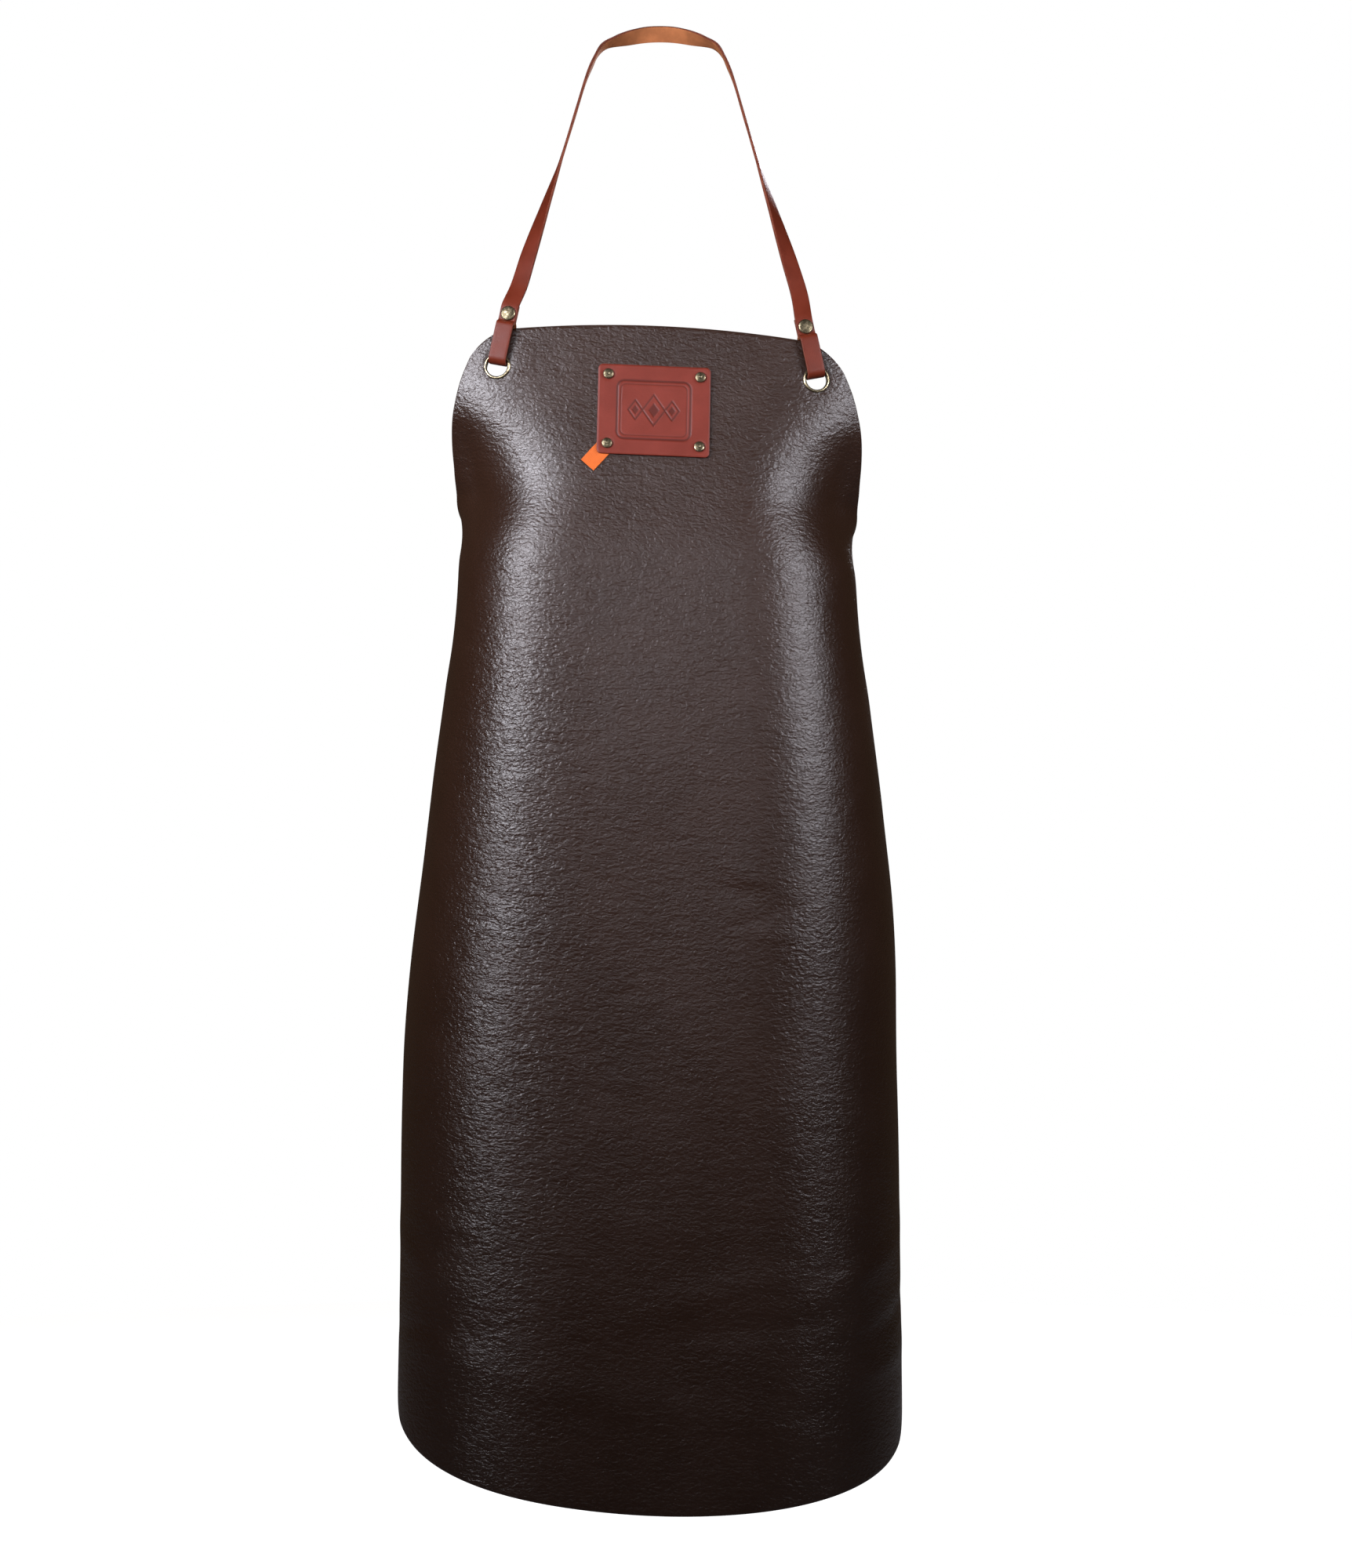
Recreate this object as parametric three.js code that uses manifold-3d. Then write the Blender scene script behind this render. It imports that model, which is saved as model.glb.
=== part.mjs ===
// A leather work apron: one panel of thick hide hung from a neck strap, drawn back at the
// waist by a buckled strap, with a riveted patch and a ribbon tag on the bib.
// Millimetres, +Z up. The origin is the inner face of the neck strap at the nape, the wearer
// faces -Y, and +X is to the right of someone who looks at the front.

import * as THREE from 'three';
import { mergeVertices } from 'three/addons/utils/BufferGeometryUtils.js';
import Module from 'manifold-3d';

const wasm = await Module();
wasm.setup();

// ---- Driving dimensions -------------------------------------------------------------------

const GAP = 0.3;                  // clearance between pieces that touch

const PANEL_LENGTH = 1002;        // top edge to the lowest point of the hem
const PANEL_HALF_WIDTH = 298;     // cut half-width of the skirt, round the body
const PANEL_THICK = 2.5;
const BIB_TOP_Z = -279;           // height of the top edge below the nape
const BIB_HALF_WIDTH = 158;       // cut half-width just under the bib's corners
const TOP_EDGE_RADIUS = 1240;     // the top edge is a very flat arc
const TOP_CORNER = 26;
const HEM_RADIUS = 650;
const HEM_CORNER = 44;
const HANG_SKEW = 0.042;          // the apron hangs a little lower on its +X side
const WAIST_DROP = 205;           // from the top edge to the waist eyelets

const STRAP_WIDTH = 15;
const STRAP_THICK = 2.4;

const EYELET_BORE = STRAP_WIDTH / 2 + 1.3;    // radii of the four eyelets, which pass the strap
const EYELET_FLANGE = EYELET_BORE + 2.7;
const EYELET_WALL = 0.5;
const EYELET_SIDES = 16;
const SEAT_DEPTH = 0.5;           // how far an eyelet presses into each face of the leather
const NECK_EYELET_S = 135.5;      // neck eyelets, from the middle line
const NECK_EYELET_T = 40;         // and down from the top edge
const WAIST_EYELET_INSET = 28;    // waist eyelets, in from the cut half-width

const LOOP_LEAN = 0.215;          // the neck strap leans inward above its eyelet, radians
const LOOP_RIVET = 46;            // eyelet centre to the rivet that closes a strap loop
const LOOP_SPREAD = PANEL_THICK / 2 + 3.65;   // half the space inside a loop, round the panel's edge
const LOOP_BEND = LOOP_SPREAD - 1;            // inner radius of a loop's two bends
const NAPE_TILT = 0.6;            // the strap leans with the slope of the nape, radians
const NAPE_FLAT = 10;             // half-length of the straight stretch at the nape

const PATCH_WIDTH = 95;
const PATCH_HEIGHT = 77;
const PATCH_THICK = 3;
const PATCH_S = -2.5;             // patch centre, from the middle line
const PATCH_T = 74;               // and down from the top edge
const PATCH_CORNER = 4;
const PATCH_LEAN = 0.02;
const PATCH_RIVET_INSET = 8.6;

const TAG_WIDTH = 14.5;
const TAG_THICK = 0.9;            // a ribbon folded double
const TAG_TUCK = 6;               // behind the rivet that holds it
const TAG_REACH = 25;             // from that rivet to the fold
const TAG_ANGLE = 0.72;           // swung from straight down towards -X, radians

const CAP_RADIUS = 6.25;          // strap rivets
const CAP_HEIGHT = 2.4;
const CAP_POST = 1.6;
const LOOP_TAIL = CAP_RADIUS + 1.75;          // the strap's end, beyond the rivet
const LOOP_OPEN = LOOP_RIVET - CAP_RADIUS - 3.75;   // a loop keeps its full space up to here
const SMALL_CAP_RADIUS = 4.5;     // patch rivets
const SMALL_CAP_HEIGHT = 2.2;
const SMALL_CAP_POST = 1.3;
const POST_FLANGE_SHARE = 0.86;   // the post's own head, beside its cap

const BELT_BACK_Y = 42;           // the waist strap behind the wearer
const BELT_STRAIGHT = 92;         // half-length of its straight stretch there
const BUCKLE_X = 6;               // the bar in the strap's fold
const BUCKLE_LENGTH = 20;         // that bar to the roller's bar
const BUCKLE_INSIDE = STRAP_WIDTH + 2.6;      // the opening that the strap runs through
const BUCKLE_WIRE = 1.5;          // radii of the frame, the prong and the roller
const PRONG_WIRE = 1;
const ROLLER_WALL = 0.9;
const FOLD_RIVET_X = -15;
const FOLD_END_X = -23;
const KEEPER_X = -38;
const KEEPER_LENGTH = 9;
const KEEPER_THICK = 1.8;
const TIP_X = -86;                // rounded tip of the waist strap
const HOLE_PITCH = 19;
const HOLES_SHOWN = 5;
const HOLE_LENGTH = 8.4;
const HOLE_WIDTH = 2 * PRONG_WIRE + 1.2;
const CUT_REACH = 9;              // half-length of a cutter, past every stack of leather

// ---- Finishes -----------------------------------------------------------------------------

function finish(color, roughness, metalness) {
  return () => new THREE.MeshStandardMaterial({ color, roughness, metalness });
}

const brownHide = finish(0x3e3334, 0.5, 0);
const redStrap = finish(0x7a3528, 0.45, 0);
const redPatch = finish(0x8a4238, 0.5, 0);
const orangeRibbon = finish(0xfb7e31, 0.6, 0);
const agedBrass = finish(0x8a7a52, 0.35, 1);

// ---- Closed solids ------------------------------------------------------------------------

const part = new THREE.Group();

// A closed geometry with merged vertices, its faces turned outward.
function closed(geometry) {
  const bare = geometry.clone();
  bare.deleteAttribute('normal');
  bare.deleteAttribute('uv');
  const merged = mergeVertices(bare, 1e-4);
  const at = merged.attributes.position;
  const index = [];
  let volume = 0;
  for (let i = 0; i < merged.index.count; i += 3) {
    const [a, b, c] = [0, 1, 2].map((k) => merged.index.getX(i + k));
    if (a === b || b === c || c === a) continue;
    index.push(a, b, c);
    const [p, q, r] = [a, b, c].map((k) => new THREE.Vector3().fromBufferAttribute(at, k));
    volume += p.dot(q.cross(r));
  }
  if (volume < 0) index.reverse();
  merged.setIndex(index);
  return merged;
}

function toManifold(geometry) {
  const whole = closed(geometry);
  return new wasm.Manifold(new wasm.Mesh({
    numProp: 3,
    vertProperties: new Float32Array(whole.attributes.position.array),
    triVerts: new Uint32Array(whole.index.array),
  }));
}

// The geometry with each of the cutters taken away.
function cut(geometry, cutters) {
  let solid = toManifold(geometry);
  for (const cutter of cutters) solid = solid.subtract(toManifold(cutter));
  const mesh = solid.getMesh();
  const result = new THREE.BufferGeometry();
  result.setAttribute('position', new THREE.BufferAttribute(mesh.vertProperties, 3));
  result.setIndex(new THREE.BufferAttribute(mesh.triVerts, 1));
  return result;
}

function add(name, geometry, material, matrix) {
  const mesh = new THREE.Mesh(closed(geometry), material());
  mesh.name = name;
  if (matrix) mesh.applyMatrix4(matrix);
  part.add(mesh);
  return mesh;
}

// Rings of points joined in order; capped at both ends unless the rings make a loop.
function loft(rings, loop = false) {
  const around = rings[0].length;
  const points = rings.flat();
  const index = [];
  const last = loop ? rings.length : rings.length - 1;
  for (let i = 0; i < last; i += 1) {
    const here = i * around;
    const next = ((i + 1) % rings.length) * around;
    for (let j = 0; j < around; j += 1) {
      const k = (j + 1) % around;
      index.push(here + j, next + j, next + k, here + j, next + k, here + k);
    }
  }
  if (!loop) {
    const end = (rings.length - 1) * around;
    for (let j = 1; j < around - 1; j += 1) {
      index.push(0, j, j + 1, end, end + j + 1, end + j);
    }
  }
  const geometry = new THREE.BufferGeometry().setFromPoints(points);
  geometry.setIndex(index);
  return geometry;
}

// A slab over a grid: place(i, j, side) gives the point of the outer (1) or inner (-1) face.
function slab(columns, rows, place) {
  const wide = columns + 1;
  const tall = rows + 1;
  const points = [];
  for (const side of [1, -1]) {
    for (let j = 0; j < tall; j += 1) {
      for (let i = 0; i < wide; i += 1) points.push(place(i, j, side));
    }
  }
  const inner = wide * tall;
  const index = [];
  for (let j = 0; j < rows; j += 1) {
    for (let i = 0; i < columns; i += 1) {
      const a = j * wide + i;
      const [b, c, d] = [a + 1, a + wide + 1, a + wide];
      index.push(a, b, c, a, c, d);
      index.push(inner + a, inner + c, inner + b, inner + a, inner + d, inner + c);
    }
  }
  const rim = [];
  for (let i = 0; i < columns; i += 1) rim.push(i);
  for (let j = 0; j < rows; j += 1) rim.push(j * wide + columns);
  for (let i = columns; i > 0; i -= 1) rim.push(rows * wide + i);
  for (let j = rows; j > 0; j -= 1) rim.push(j * wide);
  rim.forEach((a, k) => {
    const b = rim[(k + 1) % rim.length];
    index.push(b, a, inner + a, b, inner + a, inner + b);
  });
  const geometry = new THREE.BufferGeometry().setFromPoints(points);
  geometry.setIndex(index);
  return geometry;
}

// A turned piece about the local Y axis, from a closed outline of [radius, height] pairs.
function turned(outline, segments) {
  const points = outline.map(([r, y]) => new THREE.Vector2(r, y));
  points.push(points[0].clone());
  return new THREE.LatheGeometry(points, segments);
}

// A frame whose local Y is the given axis.
function facing(origin, axis) {
  const turn = new THREE.Quaternion().setFromUnitVectors(new THREE.Vector3(0, 1, 0), axis);
  return new THREE.Matrix4().compose(origin, turn, new THREE.Vector3(1, 1, 1));
}

function rod(origin, axis, radius, from, to, segments = 20) {
  const geometry = new THREE.CylinderGeometry(radius, radius, to - from, segments);
  geometry.translate(0, (from + to) / 2, 0);
  return geometry.applyMatrix4(facing(origin, axis));
}

// ---- The hang of the panel ----------------------------------------------------------------

function smooth(x) {
  const u = Math.min(Math.max(x, 0), 1);
  return u * u * (3 - 2 * u);
}

// A smooth curve through stations of [drop, value], with no overshoot between them.
function through(stations) {
  const slope = stations.slice(1).map(([t, v], i) => (v - stations[i][1]) / (t - stations[i][0]));
  const tangent = stations.map((_, i) => {
    if (i === 0) return slope[0];
    if (i === stations.length - 1) return slope[i - 1];
    const [a, b] = [slope[i - 1], slope[i]];
    return a * b <= 0 ? 0 : (2 * a * b) / (a + b);
  });
  return (t) => {
    let i = 0;
    while (i < stations.length - 2 && t > stations[i + 1][0]) i += 1;
    const [t0, v0] = stations[i];
    const [t1, v1] = stations[i + 1];
    const h = t1 - t0;
    const u = Math.min(Math.max((t - t0) / h, 0), 1);
    const w = 1 - u;
    return v0 * (1 + 2 * u) * w * w + tangent[i] * h * u * w * w
      + v1 * u * u * (3 - 2 * u) + tangent[i + 1] * h * u * u * (u - 1);
  };
}

const waistEyeletS = PANEL_HALF_WIDTH - WAIST_EYELET_INSET;

// Cut half-width at each drop: the bib, its curved armholes, and the skirt.
const halfWidth = through([
  [0, BIB_HALF_WIDTH - 14],
  [TOP_CORNER + 8, BIB_HALF_WIDTH + 2],
  [52, BIB_HALF_WIDTH + 10],
  [72, BIB_HALF_WIDTH + 17],
  [98, BIB_HALF_WIDTH + 26],
  [132, BIB_HALF_WIDTH + 40],
  [WAIST_DROP - 52, PANEL_HALF_WIDTH - 82],
  [WAIST_DROP - 31, PANEL_HALF_WIDTH - 50],
  [WAIST_DROP - 14, PANEL_HALF_WIDTH - 20],
  [WAIST_DROP, PANEL_HALF_WIDTH - 8],
  [WAIST_DROP + 35, PANEL_HALF_WIDTH - 3],
  [WAIST_DROP + 95, PANEL_HALF_WIDTH],
  [PANEL_LENGTH, PANEL_HALF_WIDTH],
]);
// Where, out from the middle line, the leather starts and ends its turn round the body.
const turnStart = through([[0, 60], [60, 60], [130, 45], [WAIST_DROP, 58], [PANEL_LENGTH, 60]]);
const turnEnd = through([
  [0, 470], [40, 430], [75, 355], [105, 282], [130, 247], [150, 231],
  [WAIST_DROP, waistEyeletS - 24],
  [WAIST_DROP + 35, waistEyeletS - 20],
  [WAIST_DROP + 95, waistEyeletS - 9],
  [WAIST_DROP + 195, waistEyeletS + 13],
  [WAIST_DROP + 355, waistEyeletS + 39],
  [WAIST_DROP + 515, waistEyeletS + 49],
  [PANEL_LENGTH, waistEyeletS + 54],
]);
// The front of the body, from chest to knee.
const frontY = through([
  [0, -163], [60, -173], [140, -188], [WAIST_DROP, -198], [400, -205], [PANEL_LENGTH, -205],
]);
// The hide hangs slightly to one side, more so at the skirt.
const sway = through([[0, -2], [450, -2], [640, -8], [PANEL_LENGTH, -8.5]]);
const TURN_ANGLE = Math.PI / 2;
const PINCH = 0.3;                // extra turn where the waist strap draws the sides in
const PINCH_REACH = 110;
const FLARE = 0.55;               // the armhole edge flares out again above the waist
const STEP = 2;
const rows = new Map();

// The cross-section at one drop: points and tangent angles along the leather, which keeps
// its cut length.
function crossSection(t) {
  if (rows.has(t)) return rows.get(t);
  const start = turnStart(t);
  const end = turnEnd(t);
  const pinch = PINCH * smooth(1 - Math.abs(t - WAIST_DROP) / PINCH_REACH);
  const flare = FLARE * smooth((t - 50) / 70) * smooth((WAIST_DROP - 8 - t) / 72);
  const angle = (s) => TURN_ANGLE * smooth((s - start) / (end - start))
    + pinch * (smooth((s - waistEyeletS + 70) / 18) - smooth((s - waistEyeletS + 38) / 16))
    - flare * smooth((s - BIB_HALF_WIDTH - 4) / 22);
  const points = [{ x: 0, y: frontY(t) }];
  for (let s = 0; s < PANEL_HALF_WIDTH + 20; s += STEP) {
    const { x, y } = points.at(-1);
    const phi = angle(s + STEP / 2);
    points.push({ x: x + STEP * Math.cos(phi), y: y + STEP * Math.sin(phi) });
  }
  rows.set(t, points);
  return points;
}

// The middle of the leather at s along it and t down it.
function middle(s, t) {
  const points = crossSection(t);
  const place = Math.abs(s) / STEP;
  const i = Math.min(Math.floor(place), points.length - 2);
  const u = place - i;
  const x = Math.sign(s) * (points[i].x + u * (points[i + 1].x - points[i].x));
  const y = points[i].y + u * (points[i + 1].y - points[i].y);
  return new THREE.Vector3(x + sway(t), y, BIB_TOP_Z - t - HANG_SKEW * x);
}

// Local directions there: along the leather, down it, and out of its grain side.
function directions(s, t) {
  const reach = 1;
  const along = middle(s + reach, t).sub(middle(s - reach, t)).normalize();
  const down = middle(s, t + reach).sub(middle(s, t - reach)).normalize();
  const out = new THREE.Vector3().crossVectors(down, along).normalize();
  return { along, down, out };
}

function onLeather(s, t, lift) {
  return middle(s, t).addScaledVector(directions(s, t).out, lift);
}

// How far an arc of the given radius has fallen at x, with the corner of radius r beyond.
function edgeDrop(x, half, arcRadius, cornerRadius) {
  const reach = Math.min(x, half);
  const arc = arcRadius - Math.sqrt(arcRadius * arcRadius - reach * reach);
  const past = Math.max(0, reach - (half - cornerRadius));
  return arc + cornerRadius - Math.sqrt(Math.max(0, cornerRadius ** 2 - past ** 2));
}

const PANEL_COLUMNS = 30;
const PANEL_ROWS = 34;

function panelPoint(i, j, side) {
  const u = (2 * i) / PANEL_COLUMNS - 1;
  const p = Math.sign(u) * (1 - (1 - Math.abs(u)) ** 1.4);
  const v = j / PANEL_ROWS;
  const bib = halfWidth(TOP_CORNER + 8);
  const top = edgeDrop(Math.abs(p) * bib, bib, TOP_EDGE_RADIUS, TOP_CORNER);
  const skirt = PANEL_HALF_WIDTH;
  const hem = edgeDrop(Math.abs(p) * skirt, skirt, HEM_RADIUS, HEM_CORNER);
  const t = top + (PANEL_LENGTH - hem - top) * v * (0.45 + 0.55 * v);
  return onLeather(p * halfWidth(t), t, side * PANEL_THICK / 2);
}

// ---- Eyelets ------------------------------------------------------------------------------

const eyelets = [
  ['neck_left', -NECK_EYELET_S, NECK_EYELET_T],
  ['neck_right', NECK_EYELET_S, NECK_EYELET_T],
  ['waist_left', -waistEyeletS, WAIST_DROP],
  ['waist_right', waistEyeletS, WAIST_DROP],
].map(([name, s, t]) => ({ name, centre: middle(s, t), ...directions(s, t) }));

const seatFace = PANEL_THICK / 2 - SEAT_DEPTH;
const barrelRadius = EYELET_BORE + EYELET_WALL;
const washerTop = -seatFace - GAP;
const washerBottom = washerTop - 0.8;

function makeEyelets() {
  const under = seatFace + GAP;
  const curl = washerBottom - GAP;
  const outline = [
    [EYELET_BORE, under],
    [EYELET_BORE + 0.5, under + 0.9],
    [EYELET_BORE + 1.3, under + 1.1],
    [EYELET_FLANGE - 0.5, under + 0.7],
    [EYELET_FLANGE, under],
    [barrelRadius, under],
    [barrelRadius, curl],
    [barrelRadius + 1.4, curl],
    [barrelRadius + 1.2, curl - 0.6],
    [barrelRadius + 0.2, curl - 0.8],
    [EYELET_BORE, curl],
  ];
  const washer = [
    [barrelRadius + GAP, washerBottom],
    [EYELET_FLANGE, washerBottom],
    [EYELET_FLANGE, washerTop],
    [barrelRadius + GAP, washerTop],
  ];
  for (const { name, centre, out } of eyelets) {
    add(`eyelet_${name}`, turned(outline, EYELET_SIDES), agedBrass, facing(centre, out));
    add(`eyelet_washer_${name}`, turned(washer, EYELET_SIDES), agedBrass, facing(centre, out));
  }
}

function eyeletCuts() {
  const deep = CUT_REACH;
  return eyelets.flatMap(({ centre, out }) => [
    rod(centre, out, barrelRadius + GAP, -deep, deep),
    rod(centre, out, EYELET_FLANGE + 1, seatFace, deep),
    rod(centre, out, EYELET_FLANGE + 1, -deep, -seatFace),
  ]);
}

// ---- Rivets -------------------------------------------------------------------------------

// A double-cap rivet through a stack of leather that reaches from bottom to top about its
// centre: a cap on the grain side, and a post whose own head is on the flesh side.
function rivet(name, centre, axis, bottom, top, capRadius, capHeight, postRadius) {
  const seat = top + GAP;
  const socket = seat + capHeight * 0.55;
  const cap = [
    [0, socket],
    [postRadius + GAP, socket],
    [postRadius + GAP, seat],
    [capRadius, seat],
    [capRadius, seat + capHeight * 0.35],
    [capRadius * 0.82, seat + capHeight * 0.75],
    [capRadius * 0.45, seat + capHeight * 0.95],
    [0, seat + capHeight],
  ];
  const head = capRadius * POST_FLANGE_SHARE;
  const foot = bottom - GAP;
  const post = [
    [0, foot - 1],
    [head * 0.8, foot - 1],
    [head, foot - 0.4],
    [head, foot],
    [postRadius, foot],
    [postRadius, socket - GAP],
    [0, socket - GAP],
  ];
  const place = facing(centre, axis);
  add(`${name}_cap`, turned(cap, 12), agedBrass, place);
  add(`${name}_post`, turned(post, 12), agedBrass, place);
}

function rivetHole(centre, axis, postRadius) {
  return rod(centre, axis, postRadius + GAP, -CUT_REACH, CUT_REACH, 12);
}

// ---- Patch and tag ------------------------------------------------------------------------

const patchRivets = [
  ['upper_left', -1, -1],
  ['upper_right', 1, -1],
  ['lower_left', -1, 1],
  ['lower_right', 1, 1],
].map(([name, a, b]) => {
  const across = a * (PATCH_WIDTH / 2 - PATCH_RIVET_INSET);
  const drop = b * (PATCH_HEIGHT / 2 - PATCH_RIVET_INSET);
  const s = PATCH_S + across - PATCH_LEAN * drop;
  const t = PATCH_T + drop;
  return { name, s, t, centre: middle(s, t), out: directions(s, t).out };
});
const patchUnder = PANEL_THICK / 2 + GAP;

// A point of the patch at a across and b down its face, its corners drawn in to an arc.
function patchPoint(a, b, lift) {
  const [halfA, halfB] = [PATCH_WIDTH / 2, PATCH_HEIGHT / 2];
  const pastA = Math.max(0, Math.abs(a) - (halfA - PATCH_CORNER)) / PATCH_CORNER;
  const pastB = Math.max(0, Math.abs(b) - (halfB - PATCH_CORNER)) / PATCH_CORNER;
  const inA = pastA * PATCH_CORNER * (1 - Math.sqrt(1 - pastB * pastB / 2));
  const inB = pastB * PATCH_CORNER * (1 - Math.sqrt(1 - pastA * pastA / 2));
  const across = a - Math.sign(a) * inA;
  const drop = b - Math.sign(b) * inB;
  return onLeather(PATCH_S + across - PATCH_LEAN * drop, PATCH_T + drop, lift);
}

// Grid lines: two in each corner arc, and the rest evenly between the arcs.
function gridLines(half, cells) {
  const inner = half - PATCH_CORNER;
  const lines = [-half, -half + PATCH_CORNER / 2];
  for (let i = 0; i <= cells; i += 1) lines.push(-inner + (2 * inner * i) / cells);
  lines.push(half - PATCH_CORNER / 2, half);
  return lines;
}

function tagPoint(i, j, low, high, side, margin) {
  const held = patchRivets[2];
  const across = (i / 2 - 0.5) * (TAG_WIDTH + 2 * margin);
  const length = TAG_TUCK + TAG_REACH + 2 * margin;
  const along = -TAG_TUCK - margin + (length * j) / 4;
  const s = held.s - along * Math.sin(TAG_ANGLE) + across * Math.cos(TAG_ANGLE);
  const t = held.t + along * Math.cos(TAG_ANGLE) + across * Math.sin(TAG_ANGLE);
  return onLeather(s, t, side > 0 ? high : low);
}

function makePatchAndTag() {
  const columns = gridLines(PATCH_WIDTH / 2, 7);
  const lines = gridLines(PATCH_HEIGHT / 2, 5);
  const face = slab(columns.length - 1, lines.length - 1, (i, j, side) => (
    patchPoint(columns[i], lines[j], side > 0 ? patchUnder + PATCH_THICK : patchUnder)
  ));
  const relief = slab(2, 4, (i, j, side) => (
    tagPoint(i, j, 0, patchUnder + TAG_THICK + GAP, side, GAP)
  ));
  const holes = patchRivets.map(({ centre, out }) => rivetHole(centre, out, SMALL_CAP_POST));
  add('badge_patch', cut(face, [relief, ...holes]), redPatch);
  const tag = slab(2, 4, (i, j, side) => tagPoint(i, j, patchUnder, patchUnder + TAG_THICK, side, 0));
  add('ribbon_tag', cut(tag, [holes[2]]), orangeRibbon);
  for (const { name, centre, out } of patchRivets) {
    rivet(
      `patch_rivet_${name}`, centre, out, -PANEL_THICK / 2, patchUnder + PATCH_THICK,
      SMALL_CAP_RADIUS, SMALL_CAP_HEIGHT, SMALL_CAP_POST,
    );
  }
}

function makePanel() {
  const hide = slab(PANEL_COLUMNS, PANEL_ROWS, panelPoint);
  const holes = patchRivets.map(({ centre, out }) => rivetHole(centre, out, SMALL_CAP_POST));
  add('apron_panel', cut(hide, [...eyeletCuts(), ...holes]), brownHide);
}

// ---- Straps -------------------------------------------------------------------------------

// A flat strap through stations of { at, out }: its middle and the way its grain side faces.
// A station may also state the strap's direction there, or a share of its full width.
function strap(stations, width = STRAP_WIDTH, thick = STRAP_THICK) {
  const rings = stations.map(({ at, out, narrow = 1, straight }, i) => {
    const before = stations[Math.max(0, i - 1)].at;
    const after = stations[Math.min(stations.length - 1, i + 1)].at;
    const run = straight ?? after.clone().sub(before).normalize();
    const face = out.clone().addScaledVector(run, -out.dot(run)).normalize();
    const across = new THREE.Vector3().crossVectors(run, face);
    return [[1, 1], [-1, 1], [-1, -1], [1, -1]].map(([a, b]) => at.clone()
      .addScaledVector(across, a * narrow * width / 2)
      .addScaledVector(face, b * thick / 2));
  });
  return loft(rings);
}

// The loop of strap in an eyelet, from its hidden end, through the eyelet and out to the
// rivet. up is the way the strap pulls, and out faces away from the leather's grain side.
function eyeletLoop({ centre, out }, up) {
  const layer = STRAP_THICK / 2 + GAP / 2;
  const leg = LOOP_SPREAD + STRAP_THICK / 2;
  const halfWide = STRAP_WIDTH / 2;
  const room = (EYELET_BORE * Math.cos(Math.PI / EYELET_SIDES) - GAP) ** 2 - halfWide ** 2;
  const low = Math.sqrt(room) - STRAP_THICK / 2;
  const bend = LOOP_BEND + STRAP_THICK / 2;
  const flat = leg - bend;
  const profile = [];
  for (const [u, share] of [[0, 0], [0.25, 0.1], [0.5, 0.5], [0.75, 0.9], [1, 1]]) {
    const height = LOOP_RIVET - CAP_RADIUS - u * (LOOP_RIVET - CAP_RADIUS - LOOP_OPEN);
    profile.push([height, layer + share * (leg - layer)]);
  }
  for (let i = 0; i <= 5; i += 1) {
    const turn = (i / 5) * Math.PI / 2;
    profile.push([low + bend - bend * Math.sin(turn), flat + bend * Math.cos(turn)]);
  }
  const place = ([u, n], face) => ({
    at: centre.clone().addScaledVector(up, u).addScaledVector(out, n),
    out: face,
  });
  const faceAt = (i, side) => {
    const before = profile[Math.max(0, i - 1)];
    const after = profile[Math.min(profile.length - 1, i + 1)];
    const du = after[0] - before[0];
    const dn = (after[1] - before[1]) * side;
    return up.clone().multiplyScalar(dn * side).addScaledVector(out, -du * side).normalize();
  };
  const front = profile.map(([u, n], i) => place([u, n], faceAt(i, 1)));
  const back = profile.map(([u, n], i) => place([u, -n], faceAt(i, -1)));
  const tail = place([LOOP_RIVET + LOOP_TAIL, -layer], out.clone().negate());
  const mid = place([LOOP_RIVET, -layer], out.clone().negate());
  const lead = [LOOP_RIVET, LOOP_RIVET + CAP_RADIUS].map((u) => place([u, layer], out));
  return [tail, mid, ...back, ...front.reverse(), ...lead];
}

function strapRivet(name, { centre, out }, up) {
  const at = centre.clone().addScaledVector(up, LOOP_RIVET);
  const half = STRAP_THICK + GAP / 2;
  rivet(name, at, out, -half, half, CAP_RADIUS, CAP_HEIGHT, CAP_POST);
  return rivetHole(at, out, CAP_POST);
}

function neckUp({ along, down, out }, side) {
  const up = down.clone().negate();
  const square = along.clone().addScaledVector(up, -along.dot(up)).normalize();
  const lean = up.multiplyScalar(Math.cos(LOOP_LEAN)).addScaledVector(square, -side * Math.sin(LOOP_LEAN));
  return lean.addScaledVector(out, -lean.dot(out)).normalize();
}

// The strap from the nape over the shoulder to the chest on the +X side: place and facing.
const SHOULDER = [
  [[28, -5, -3.5], [0.12, 0.7, 0.7]],
  [[44, -14, -9.5], [0.5, 0.2, 0.84]],
  [[53, -25, -18], [0.85, 0.02, 0.5]],
  [[58.5, -38, -31], [0.96, 0, 0.3]],
  [[64, -52, -47], [1, 0, 0.2]],
  [[74, -76, -86], [1, -0.04, 0.1]],
  [[86, -103, -132], [0.98, -0.2, 0.02]],
  [[99, -124, -176], [0.8, -0.6, 0]],
  [[111.5, -142, -219], [0.45, -0.9, 0.1]],
  [[119.5, -152, -248], [0.26, -0.96, 0.14]],
];
const SHOULDER_STEPS = 26;

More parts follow.
